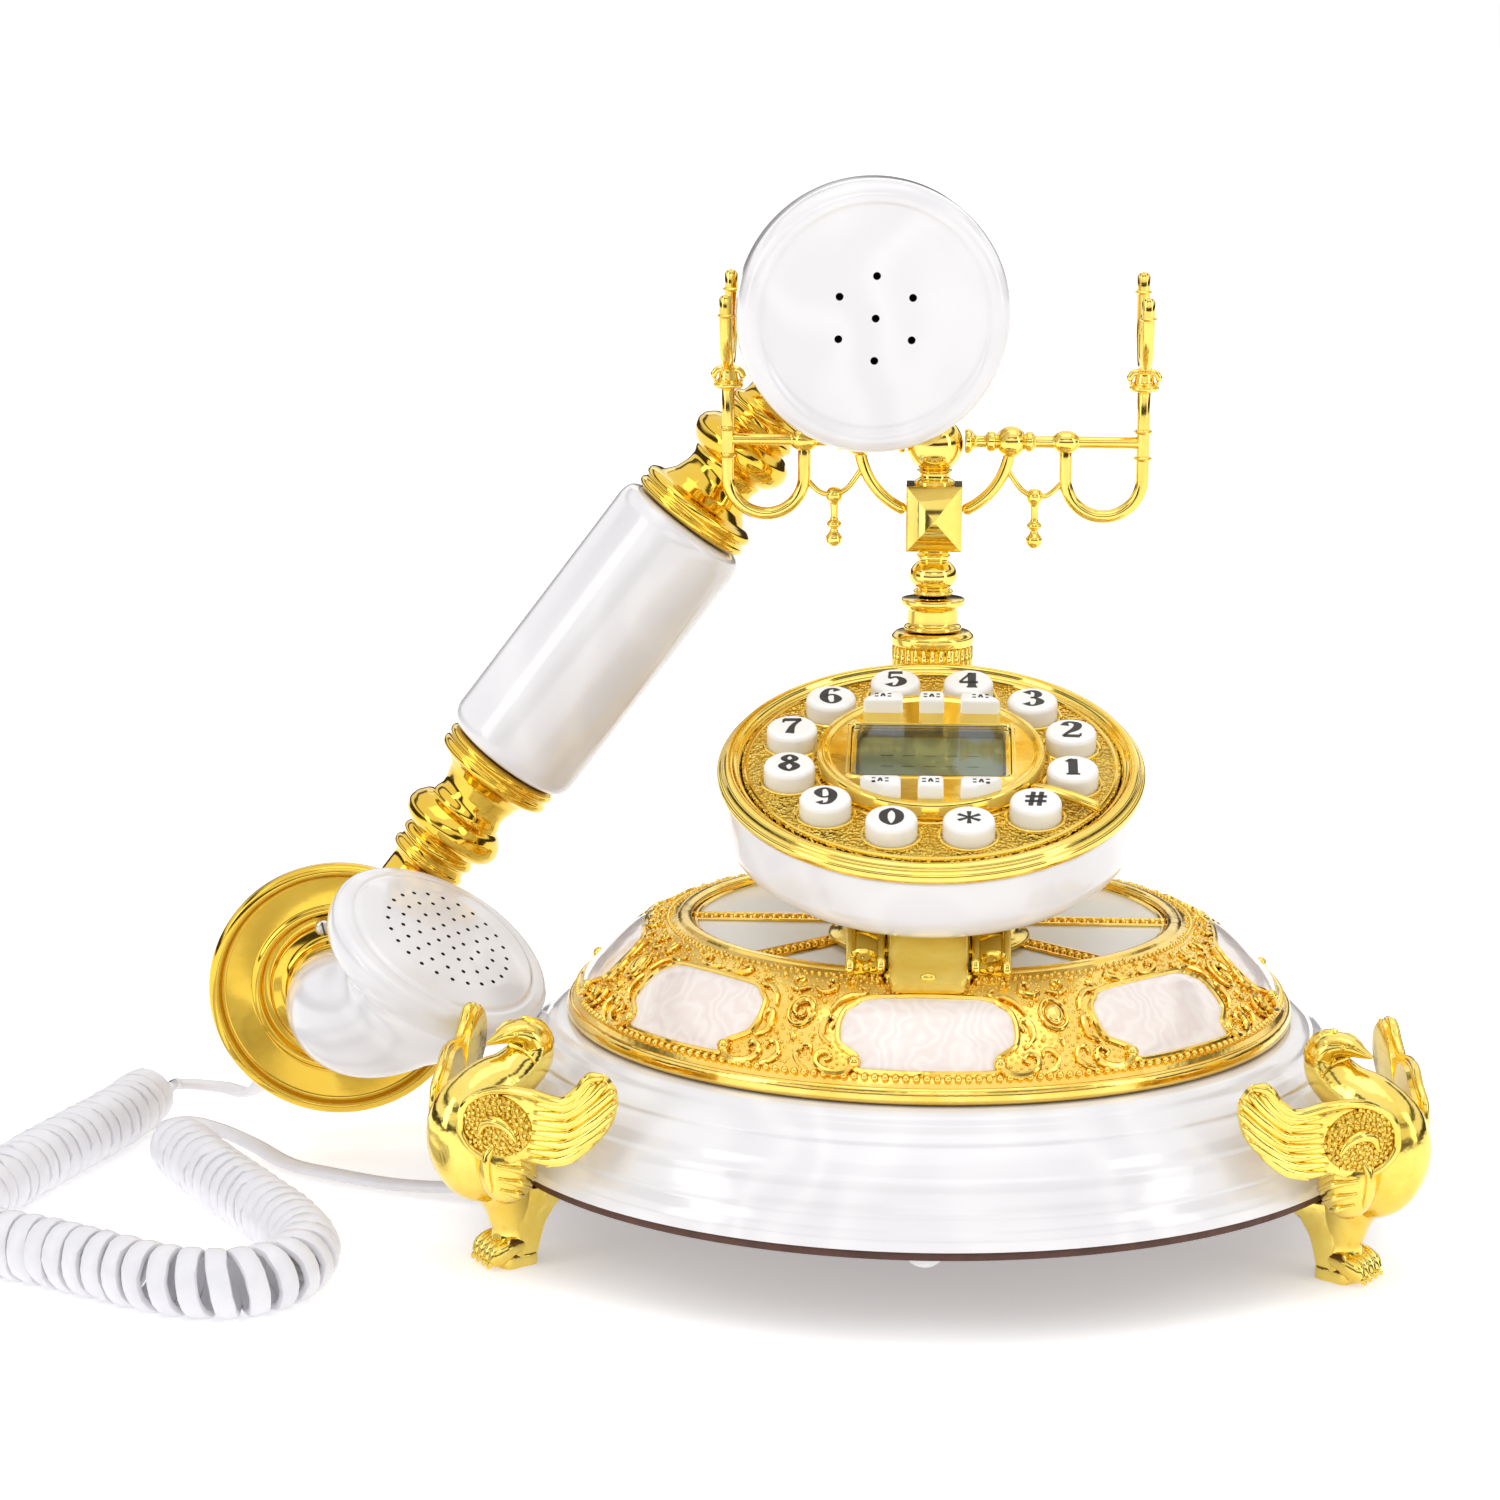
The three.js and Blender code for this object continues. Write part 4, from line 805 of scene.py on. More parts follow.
BLUSH_PEARL = Finish("blush_pearl", "disc_pearl", PEARLY, (0.82, 0.70, 0.65), (0.88, 0.79, 0.74),
    (0.94, 0.89, 0.84), clean=0.14, wiped=0.26, scale=60, cells=90, depth=3.2, bump=0.03, coat=0.8)
BROWN = Finish("brown_board", "brown_plate", PLASTIC, (0.10, 0.032, 0.016), (0.055, 0.018, 0.010), clean=0.45,
    wiped=0.6, scale=120, bump=0.2)
KEY_WHITE = Finish("key_white", "key_white", PLASTIC, (0.86, 0.85, 0.83), (0.80, 0.79, 0.77), clean=0.25,
    wiped=0.36, scale=120, bump=0.02, coat=0.2)
INK = Finish("key_ink", "key_white", PLASTIC, (0.006, 0.006, 0.008), (0.02, 0.02, 0.022), clean=0.35,
    wiped=0.5, scale=300, bump=0.02)
GLASS = Finish("window_lens", "lens", CLEAR, (0.95, 0.97, 0.93), (0.90, 0.94, 0.88), clean=0.02, wiped=0.06,
    scale=80, bump=0.0)
LIQUID = Finish("liquid_display", "display", PLASTIC, (0.24, 0.29, 0.17), (0.19, 0.235, 0.135), clean=0.3,
    wiped=0.42, scale=60, bump=0.01)
BOARD = Finish("circuit_board", "board", PLASTIC, (0.02, 0.12, 0.05), (0.015, 0.08, 0.035), clean=0.35,
    wiped=0.5, scale=200, bump=0.05)
DARK = Finish("dark_plastic", "dark_plastic", PLASTIC, (0.02, 0.02, 0.022), (0.035, 0.035, 0.04), clean=0.35,
    wiped=0.55, scale=150, bump=0.1)
RUBBER = Finish("clear_rubber", "clear_rubber", CLEAR, (0.9, 0.92, 0.93), (0.82, 0.85, 0.87), clean=0.18,
    wiped=0.3, scale=200, bump=0.05)
CORD_PLASTIC = Finish("cord_plastic", "cord", PLASTIC, (0.80, 0.79, 0.82), (0.74, 0.73, 0.77), clean=0.28,
    wiped=0.42, scale=140, bump=0.05, coat=0.15)
# Near black: painted shade on the walls of the drilled holes in the pearl caps.
HOLE_SHADE = Finish("hole_shade", "pearl", PLASTIC, (0.012, 0.010, 0.009), (0.03, 0.025, 0.02), clean=0.6,
    wiped=0.8, scale=300, bump=0.05)


# ---------------------------------------------------------------- frames of the sub-assemblies
def base_axis() -> Vector:
    """Returns the base's axis on the table, in millimetres, from its frame node."""
    low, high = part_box("base_shell")
    return Vector(((low.x + high.x) / 2, (low.y + high.y) / 2, 0)) / MM


AXIS = Matrix.Translation(base_axis())
DIAL_CENTRE = Vector((0, -21, 99.5))
DIAL = AXIS @ Matrix.Translation(DIAL_CENTRE) @ Matrix.Rotation(radians(18.4), 4, "X")
COLUMN_Y = 31.2
CRADLE = AXIS @ Matrix.Translation((0, COLUMN_Y, 0))
EAR_CENTRE = Vector((-16.8, 46.2, 189.7))
MOUTH_CENTRE = Vector((-131.9, 41.5, 37.4))
HANDSET_ROLL = radians(7.1)
HALF = (EAR_CENTRE - MOUTH_CENTRE).length / 2
RELIEF_TOP = -(HALF + 7.7)
FORWARD = Matrix.Rotation(radians(90), 4, "X")


def handset_frame() -> Matrix:
    """Returns the handset's frame: +Z from the mouth to the ear, -Y the way that both ends face."""
    axis = (EAR_CENTRE - MOUTH_CENTRE).normalized()
    facing = Vector((0, -1, 0))
    facing = (facing - axis * facing.dot(axis)).normalized()
    facing.rotate(Quaternion(axis, HANDSET_ROLL))
    side = axis.cross(facing)
    turn = Matrix((side, -facing, axis)).transposed().to_4x4()
    return AXIS @ Matrix.Translation((EAR_CENTRE + MOUTH_CENTRE) / 2) @ turn


HANDSET = handset_frame()


# ---------------------------------------------------------------- studio
@dataclass
class Studio:
    """The camera, the pale table and the soft lights."""

    stand: tuple[float, float, float] = (0.0, -0.82770, 0.2573)
    pitch: float = 10.91
    yaw: float = 2.64
    roll: float = 0.23
    lens: float = 96.0
    table: float = 30.0

    def build(self) -> None:
        """Sets up the whole studio."""
        self.camera()
        self.floor()
        self.lights()
        self.surroundings()
        bpy.context.scene.view_settings.view_transform = "Standard"

    def camera(self) -> None:
        """Stands the camera in front of the phone, a little above it."""
        data = bpy.data.cameras.new("camera")
        data.lens, data.sensor_width, data.clip_end = self.lens, 36.0, 100.0
        camera = bpy.data.objects.new("camera", data)
        turn = (Matrix.Rotation(radians(self.yaw), 4, "Z") @ Matrix.Rotation(radians(90 - self.pitch), 4,
            "X") @ Matrix.Rotation(radians(self.roll), 4, "Z"))
        camera.matrix_world = Matrix.Translation(base_axis() * MM + Vector(self.stand)) @ turn
        bpy.context.scene.collection.objects.link(camera)
        bpy.context.scene.camera = camera

    def floor(self) -> None:
        """Lays a plain pale table top."""
        mesh = bpy.data.meshes.new("table_top")
        half = self.table / 2
        mesh.from_pydata([(-half, -half, 0), (half, -half, 0), (half, half, 0), (-half, half, 0)], [],
            [(0, 1, 2, 3)])
        material = bpy.data.materials.new("pale_table")
        material.use_nodes = True
        shader = material.node_tree.nodes["Principled BSDF"]
        shader.inputs["Base Color"].default_value = (0.93, 0.93, 0.93, 1)
        shader.inputs["Roughness"].default_value = 0.9
        shader.inputs["Specular IOR Level"].default_value = 0.1
        shader.inputs["Emission Color"].default_value = (1, 1, 1, 1)
        shader.inputs["Emission Strength"].default_value = 0.38
        mesh.materials.append(material)
        floor = bpy.data.objects.new("table_top", mesh)
        bpy.context.scene.collection.objects.link(floor)

    def lights(self) -> None:
        """Hangs soft boxes above, beside and behind the phone."""
        for name, at, size, power in (
            ("top_box", (0.05, -0.15, 1.15), (0.9, 0.6), 1.6),
            ("left_box", (-1.0, -0.65, 0.55), (0.35, 0.9), 2.2),
            ("right_box", (1.0, -0.5, 0.5), (0.25, 0.9), 1.5),
            ("front_box", (0.15, -1.5, 0.9), (0.7, 0.25), 0.9),
            ("rear_box", (0.2, 1.0, 0.75), (1.0, 0.3), 0.8),
        ):
            data = bpy.data.lights.new(name, "AREA")
            data.shape, data.energy = "RECTANGLE", power
            data.size, data.size_y = size
            lamp = bpy.data.objects.new(name, data)
            way = Vector((0.0, 0.0, 0.09)) - Vector(at)
            lamp.matrix_world = Matrix.Translation(at) @ way.to_track_quat("-Z", "Y").to_matrix().to_4x4()
            bpy.context.scene.collection.objects.link(lamp)

    def surroundings(self) -> None:
        """Fills the room with white, with a few greyer bands for the metal to mirror."""
        world = bpy.data.worlds.new("studio_room")
        bpy.context.scene.world = world
        world.use_nodes = True
        tree = world.node_tree
        tree.nodes.clear()
        way = put(tree, "ShaderNodeTexCoord").outputs["Generated"]
        height = put(tree, "ShaderNodeSeparateXYZ", {"Vector": way}).outputs["Z"]
        level = put(tree, "ShaderNodeMapRange", {"Value": height, "From Min": -1.0, "From Max": 1.0})
        bands = ramp(tree, level.outputs[0], (
            (0.0, (0.8, 0.8, 0.8)), (0.47, (0.5, 0.48, 0.45)), (0.50, (0.04, 0.03, 0.02)),
            (0.58, (0.06, 0.05, 0.04)), (0.61, (0.95, 0.95, 0.95)), (0.72, (1.0, 1.0, 1.0)),
            (0.745, (0.10, 0.09, 0.08)), (0.79, (0.10, 0.09, 0.08)), (0.82, (1.0, 1.0, 1.0)),
        ))
        room = put(tree, "ShaderNodeBackground", {"Color": bands, "Strength": 1.08})
        white = put(tree, "ShaderNodeBackground", {"Color": (1, 1, 1, 1), "Strength": 1.0})
        seen = put(tree, "ShaderNodeLightPath").outputs["Is Camera Ray"]
        both = put(tree, "ShaderNodeMixShader", {0: seen, 1: room.outputs[0], 2: white.outputs[0]})
        put(tree, "ShaderNodeOutputWorld", {"Surface": both.outputs[0]})


# ---------------------------------------------------------------- cords
@dataclass
class CurlyCord:
    """The flat curly cord between the handset and the base, in two joined lengths."""

    width: float = 4.4
    thickness: float = 2.2
    coil_radius: float = 7.0
    coil_height: float = 7.3
    tight_pitch: float = 4.62
    wide_pitch: float = 5.3
    bend_pitch: float = 5.0
    turn_points: int = 18
    relief_top: float = RELIEF_TOP
    relief_length: float = 7.0
    gap: float = 0.3
    bend: tuple[float, float] = (-199.0, -44.0)
    route: Outline = (
        (-176.5, 47), (-181, 25), (-188, 1), (-194.5, -22), (-199, -44), (-191, -61), (-174, -70.5),
        (-159, -79.5), (-146, -86.5), (-134, -87), (-125.6, -79), (-123.6, -66), (-129, -52), (-139, -35),
        (-149, -19), (-157, -5), (-164.5, 9),
    )
    base_lead: tuple[tuple[float, float, float], ...] = (
        (-165.6, 12.1, 7.3), (-168.2, 20, 7), (-164.5, 27, 6.2), (-157, 25, 5), (-148, 17, 4), (-139, 8, 2.6),
        (-128, 1, 2.6), (-114, -5.6, 2.6), (-101, -9.4, 3.4), (-92.5, -11.6, 5.4), (-86.6, -13.2, 9.6),
        (-85.2, -13.6, 15.9),
    )

    def build(self) -> None:
        to_axis = AXIS.inverted() @ HANDSET
        tip = to_axis @ Vector((0, 0, self.relief_top - self.relief_length - self.gap))
        leave = to_axis @ Vector((0, 0, self.relief_top - self.relief_length - 9))
        lead = catmull([tip, leave, (-154.5, 54, 6), (-163, 60, 5), (-171, 58.5, 6), (-175.2, 51.2, 7.3)], 8)
        middle = catmull([(x, y, self.coil_height) for x, y in self.route], 24)
        bend = min(range(len(middle)), key=lambda i: (middle[i].xy - Vector(self.bend)).length)
        helix, split = self.curled(middle, bend)
        first = lead[:-2] + helix[: split + 1]
        rest = helix[split:] + catmull(self.base_lead, 6)[3:]
        upper = self.laid("handset_cord", first, ("handset_lead",))
        lower = self.laid("base_cord", rest, ("cord_coil", "base_lead"))
        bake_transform(upper)
        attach(lower, Body.BASE.value)

    def curled(self, middle: Sequence[Vector], bend: int) -> tuple[list[Vector], int]:
        """Winds the cord round a line.

        Args:
            middle: the coil's middle line.
            bend: the point of that line where the two lengths meet.

        Returns:
            The wound line, and the point in it that lies at the bend.
        """
        reach, frames = [0.0], carried_frames(middle, Vector((0, 0, 1)))
        for a, b in zip(middle, middle[1:]):
            reach.append(reach[-1] + (b - a).length)
        wound, angle, at, k, split = [], -pi / 2, 0.0, 0, 0
        radius = self.coil_radius - self.thickness / 2
        total = reach[-1]
        while at < total:
            while k < len(middle) - 2 and reach[k + 1] < at:
                k += 1
            share = (at - reach[k]) / (reach[k + 1] - reach[k])
            point = middle[k].lerp(middle[k + 1], share)
            up, across = frames[k]
            if k <= bend:
                split = len(wound)
            ends = min(1.0, at / 6, (total - at) / 6)
            size = radius * (0.35 + 0.65 * max(ends, 0.0))
            wound.append(point + (up * sin(angle) - across * cos(angle)) * size)
            angle += 2 * pi / self.turn_points
            at += self.pitch_at(point) / self.turn_points
        return wound, split

    def pitch_at(self, point: Vector) -> float:
        """Returns how far apart the turns lie at a point of the coil."""
        front = exp(-(((point.x + 160) / 30) ** 2 + ((point.y + 84) / 16) ** 2))
        right = exp(-(((point.x + 124) / 12) ** 2 + ((point.y + 70) / 14) ** 2))
        return (self.tight_pitch + (self.wide_pitch - self.tight_pitch) * front
            + (self.bend_pitch - self.tight_pitch) * right)

    def laid(self, name: str, line: list[Vector], nodes: tuple[str, ...]) -> Object:
        """Runs the flat jacket along a line and returns the piece."""
        casting = Casting(AXIS)
        wide, thick = self.width / 2, self.thickness / 2
        rows, centre = [], catmull([(x, y, self.coil_height) for x, y in self.route], 8)
        for i, p in enumerate(line):
            along = (line[min(i + 1, len(line) - 1)] - line[max(i - 1, 0)]).normalized()
            near = min(centre, key=lambda q: (q - p).length_squared)
            out = p - near if (p - near).length > 1.0 and (p - near).length < 9 else Vector((0, 0, 1))
            out = (out - along * out.dot(along)).normalized()
            side = along.cross(out)
            rows.append([p + side * (wide * copysign(abs(cos(a)) ** 0.55, cos(a)))
                + out * (thick * copysign(abs(sin(a)) ** 0.8, sin(a)))
                for a in (2 * pi * k / 12 for k in range(12))])
        casting.grid(rows, caps=True)
        mesh = casting.mesh(name)
        mesh.materials.append(CORD_PLASTIC.material())
        piece = bpy.data.objects.new(name, mesh)
        bpy.context.scene.collection.objects.link(piece)
        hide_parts(*nodes)
        LOG.info("%s: %d points", name, len(line))
        return piece


# ---------------------------------------------------------------- base
@dataclass
class PearlBase:
    """The stepped pearl base, its brown board and its clear bumper."""

    radius: float = 95.0
    sides: int = 160
    steps: Outline = (
        (95.0, 18.5), (95.0, 20.6), (94.3, 22.4), (92.9, 24.4), (92.9, 25.3), (92.2, 26.6), (91.3, 29.0),
        (90.9, 31.0), (89.9, 31.5), (88.6, 33.6), (86.4, 35.8), (85.3, 36.5), (85.3, 37.2), (83.6, 38.6),
        (81.4, 39.6), (80.6, 40.8), (79.0, 41.7), (77.2, 42.0),
    )

    def build(self) -> None:
        """Makes the base's pieces and hides the frame's own ones that they stand for."""
        inside = [(58, 42), (58, 39.5), (76, 39.5), (83, 33.5), (90.5, 22.5), (92.5, 18.5)]
        turning("pearl_base", AXIS, [*self.steps, *inside], 0.5, self.sides, Body.BASE, PEARL, "base_shell")
        turning("brown_board", AXIS, [(0, 16.6), (94.2, 16.6), (94.2, 18.2), (0, 18.2)], 0.3, self.sides,
            Body.BASE, BROWN, "bottom_plate")
        turning("front_bumper", AXIS @ Matrix.Translation((0, 9 - self.radius, 16.3)),
            [(0, -3.4), (1.6, -3.2), (3.2, -2.2), (4, 0), (0, 0)], 0.6, 40, Body.BASE, RUBBER, "clear_bumper")


# ---------------------------------------------------------------- gilt ring
@dataclass
class GiltRing:
    """The gilt ring with its eight pearl cartouches, volutes, cabochons and bead border."""

    count: int = 8
    turn: float = -90.0
    slope: Outline = ((74.9, 46.2), (70.2, 51.3), (63.8, 57.3), (57.2, 61.2), (53.4, 62.6))
    cartouche: Outline = (
        (0, 0.075), (6, 0.075), (10.2, 0.08), (11.3, 0.12), (11.2, 0.19), (12.6, 0.235), (14.4, 0.29),
        (15.1, 0.38), (15.2, 0.49), (14.6, 0.58), (13.2, 0.635), (12.2, 0.68), (9.5, 0.715), (4, 0.73),
    )
    cartouche_top: float = 0.735
    stretch: float = 20.0
    moulding: float = 0.62

    def build(self) -> None:
        """Makes the ring's five pieces."""
        self.line = catmull([(r, z, 0) for r, z in self.slope], 12)
        self.reach = [0.0]
        for a, b in zip(self.line, self.line[1:]):
            self.reach.append(self.reach[-1] + (b - a).length)
        self.ground()
        self.panels()
        self.ornament()
        self.rows()

    def at(self, angle: float, s: float, lift: float = 0.0) -> Vector:
        """Returns a point of the ring's slope.

        Args:
            angle: degrees round the ring from its front.
            s: the share of the slope from its foot to its top.
            lift: how far the point stands off the slope.
        """
        goal = min(max(s, 0.0), 1.0) * self.reach[-1]
        k = 0
        while k < len(self.line) - 2 and self.reach[k + 1] < goal:
            k += 1
        share = (goal - self.reach[k]) / (self.reach[k + 1] - self.reach[k])
        point = self.line[k].lerp(self.line[k + 1], share)
        along = (self.line[k + 1] - self.line[k]).normalized()
        r, z = point.x + along.y * lift, point.y - along.x * lift
        a = radians(self.turn + angle)
        return Vector((r * cos(a), r * sin(a), z))

    def ground(self) -> None:
        """Turns the ring's body: a rolled lip, the slope and the moulding round the top disc."""
        body = Casting(AXIS)
        lip = [(72, 42.3), (76.2, 42.3), (76.75, 43.0), (76.8, 44.4), (76.4, 45.4), (75.7, 45.7),
            (75.2, 45.2)]
        top = [(53.3, 62.5), (52.6, 63.1), (51.2, 63.3), (50.3, 62.8), (50.3, 59.2), (47.3, 59.2),
            (47.3, 57.6), (57.0, 58.4), (62.4, 54.9), (68.4, 48.7)]
        slope = [(p.x, p.y) for p in self.line]
        body.turned(eased(lip, 0.4)[:-1] + slope + eased(top, 0.35), 160)
        body.make("ring_body", Body.BASE, [RING_GILT], ["ornate_ring"])
        ground = Casting(AXIS)
        rows = [[self.at(360 * k / 96, s) for k in range(96)] for s in (0.09, 0.3, 0.5, 0.7, 0.84, 0.97)]
        ground.grid(rows)
        mesh = tree_named("pebbles").run("pebbles", ground.mesh("pebble_ground"), Radius=0.42 * MM,
            Spacing=0.95 * MM, Density=1.6e6, Seed=7, Metal=RING_GILT.material())
        joined("ring_pebbles", [mesh], Body.BASE, [RING_GILT])

    def outline(self, middle: float) -> list[tuple[float, float]]:
        """Returns the closed outline of the cartouche whose middle is at an angle."""
        half = [Vector((a, s * self.stretch, 0)) for a, s in self.cartouche]
        whole = half + [Vector((-p.x, p.y, 0)) for p in reversed(half[1:])]
        line = catmull([*whole[:14], Vector((0, self.cartouche_top * self.stretch, 0)), *whole[14:]], 4,
            closed=True)
        return [(middle + p.x, p.y / self.stretch) for p in line]

    def panels(self) -> None:
        """Makes the domed pearl panels."""
        pearl = Casting(AXIS)
        for i in range(self.count):
            middle = 360 / self.count * i
            rim = self.outline(middle)
            rows = []
            for t, lift in ((0.02, 1.15), (0.2, 1.14), (0.4, 1.08), (0.6, 0.97), (0.78, 0.8), (0.9, 0.58),
                    (0.98, 0.3), (1.0, -0.1)):
                rows.append([self.at(middle + (a - middle) * t, 0.4 + (s - 0.4) * t, lift) for a, s in rim])
            rows.append([self.at(a, s, -0.6) for a, s in rim])
            pearl.grid(rows, caps=True)
        pearl.make("ring_pearl_panels", Body.BASE, [BLUSH_PEARL])

    def swept(self, casting: Casting, middle: float, path: Outline,
              radii: Sequence[float], mirrored: bool = True, lift: float = 0.25) -> None:
        """Runs a tapering scroll over the slope, and its mirror image beside it."""
        for hand in (1, -1) if mirrored else (1,):
            line = catmull([self.at(middle + hand * a, s, lift) for a, s in path], 4)
            casting.tube(line, tapered(radii, 4, len(line)), 8)

    def ornament(self) -> None:
        """Makes the cartouche mouldings and the scrollwork between them."""
        frames, scrolls = Casting(AXIS), Casting(AXIS)
        for i in range(self.count):
            middle = 360 / self.count * i
            line = [self.at(a, s, 0.3) for a, s in self.outline(middle)]
            frames.tube(line, self.moulding, 8, closed=True)
            post = middle + 180 / self.count
            self.post(scrolls, post, plain=i % 2 == 1)
            self.crest(scrolls, middle)
        frames.make("ring_mouldings", Body.BASE, [RING_GILT])
        scrolls.make("ring_scrolls", Body.BASE, [RING_GILT])

    def post(self, casting: Casting, post: float, plain: bool) -> None:
        """Adds the ornament of one post: volutes, side scrolls, leaves and a cabochon."""
        self.swept(casting, post, [(11.3, 0.13), (9.8, 0.06), (7.4, 0.05), (5.4, 0.10), (5.0, 0.18),
            (6.3, 0.215), (7.2, 0.175), (6.5, 0.145)], [0.85, 0.8, 0.75, 0.7, 0.6, 0.5, 0.42, 0.35], lift=0.6)
        self.swept(casting, post, [(4.1, 0.05), (2.6, 0.09), (1.5, 0.16), (2.3, 0.235), (3.6, 0.24),
            (3.9, 0.19)], [0.35, 0.5, 0.55, 0.5, 0.42, 0.3], lift=0.5)
        self.swept(casting, post, [(6.6, 0.27), (5.0, 0.33), (4.7, 0.43), (5.6, 0.5), (6.6, 0.47),
            (6.2, 0.41)], [0.35, 0.6, 0.7, 0.55, 0.4, 0.3], lift=0.45)
        self.swept(casting, post, [(5.2, 0.55), (6.2, 0.64), (8.2, 0.71), (10.2, 0.72), (10.9, 0.77),
            (9.8, 0.8)], [0.35, 0.6, 0.65, 0.5, 0.4, 0.3], lift=0.4)
        self.swept(casting, post, [(0.6, 0.76), (2.6, 0.72), (4.4, 0.76), (4.2, 0.84), (2.8, 0.85),
            (2.9, 0.8)], [0.3, 0.5, 0.55, 0.5, 0.4, 0.3], lift=0.4)
        self.swept(casting, post, [(0, 0.27), (0, 0.32), (0, 0.36)], [0.3, 0.65, 0.3], mirrored=False)
        for hand in (-1, 1):
            casting.ball(self.at(post + hand * 11.2, 0.14, 0.7), 1.35, 16)
            for a, s, size in ((3.2, 0.33, 0.5), (3.4, 0.64, 0.55), (7.8, 0.58, 0.5), (7.4, 0.86, 0.6),
                    (12.4, 0.88, 0.55), (16.0, 0.86, 0.6), (19.6, 0.89, 0.5), (2.0, 0.68, 0.45)):
                casting.ball(self.at(post + hand * a, s, 0.3), size, 10)
        centre, up = self.at(post, 0.53, 0.35), (self.at(post, 0.56) - self.at(post, 0.5)).normalized()
        out = (self.at(post, 0.53, 1) - self.at(post, 0.53)).normalized()
        turn = Matrix((up.cross(out), up, out)).transposed().to_4x4()
        if plain:
            spiral = [centre + turn.to_3x3() @ Vector((r * cos(a), r * sin(a) * 1.2, 0.35)) for a,
                r in ((0.45 * k, 2.5 - 0.13 * k) for k in range(17))]
            casting.tube(spiral, [0.62 - 0.02 * k for k in range(17)], 8)
        else:
            casting.ball(centre, (1.9, 2.6, 1.1), 24, turn=turn)
        rim = [centre + turn.to_3x3() @ Vector((2.7 * cos(a), 3.5 * sin(a), 0))
            for a in (pi * k / 16 for k in range(32))]
        casting.tube(rim, 0.42, 8, closed=True)

    def crest(self, casting: Casting, middle: float) -> None:
        """Adds the small scrolls above a cartouche."""
        self.swept(casting, middle, [(0.8, 0.8), (3.0, 0.77), (5.6, 0.79), (7.0, 0.84), (6.0, 0.88),
            (5.0, 0.84)], [0.3, 0.5, 0.6, 0.5, 0.4, 0.3], lift=0.35)

    def rows(self) -> None:
        """Sets the bead border at the foot of the slope and round the top disc."""
        ring = [[self.at(1.5 * k, 0.035, 0.35) for k in range(240)]]
        top = [[self.at(1.5 * k, 0.93, 0.1) for k in range(240)]]
        meshes = [beads("border", AXIS, ring, 0.78, 2.05, RING_GILT, closed=True),
            beads("crown", AXIS, top, 0.5, 1.6, RING_GILT, closed=True)]
        joined("ring_beads", meshes, Body.BASE, [RING_GILT])


@dataclass
class TopDisc:
    """The pearl disc inside the ring, with beaded spokes between its sectors."""

    radius: float = 50.0
    bottom: float = 59.6
    top: float = 61.2
    spokes: int = 8
    width: float = 2.6
    hub: float = 12.0

    def build(self) -> None:
        """Makes the disc, the spokes and their beads."""
        turning("top_pearl", AXIS, [(0, self.bottom), (self.radius, self.bottom), (self.radius, self.top),
            (0, self.top)], 0.3, 120, Body.BASE, DISC_PEARL, "top_disc")
        strips, lines = Casting(AXIS), []
        for k in range(self.spokes):
            way = Matrix.Rotation(2 * pi * k / self.spokes, 4, "Z")
            w = self.width
            flat = [(self.hub, -w), (self.radius, -w), (self.radius, w), (self.hub, w)]
            strips.slab(flat, self.top - 0.3, self.top + 0.25, 0.15, through=way)
            for hand in (-1, 1):
                edge = [way @ Vector((r, hand * w, self.top + 0.25)) for r in (self.hub, 30, self.radius)]
                strips.tube(edge, 0.4, 8)
            lines.append([way @ Vector((r, 0, self.top + 0.4)) for r in (self.hub + 2, self.radius - 0.8)])
        strips.tube(around(0.99 * self.radius, 120, self.top + 0.2), 0.5, 8, closed=True)
        strips.make("disc_spokes", Body.BASE, [RING_GILT])
        joined("spoke_beads", [beads("spokes", AXIS, lines, 0.85, 2.0, RING_GILT)], Body.BASE, [RING_GILT])


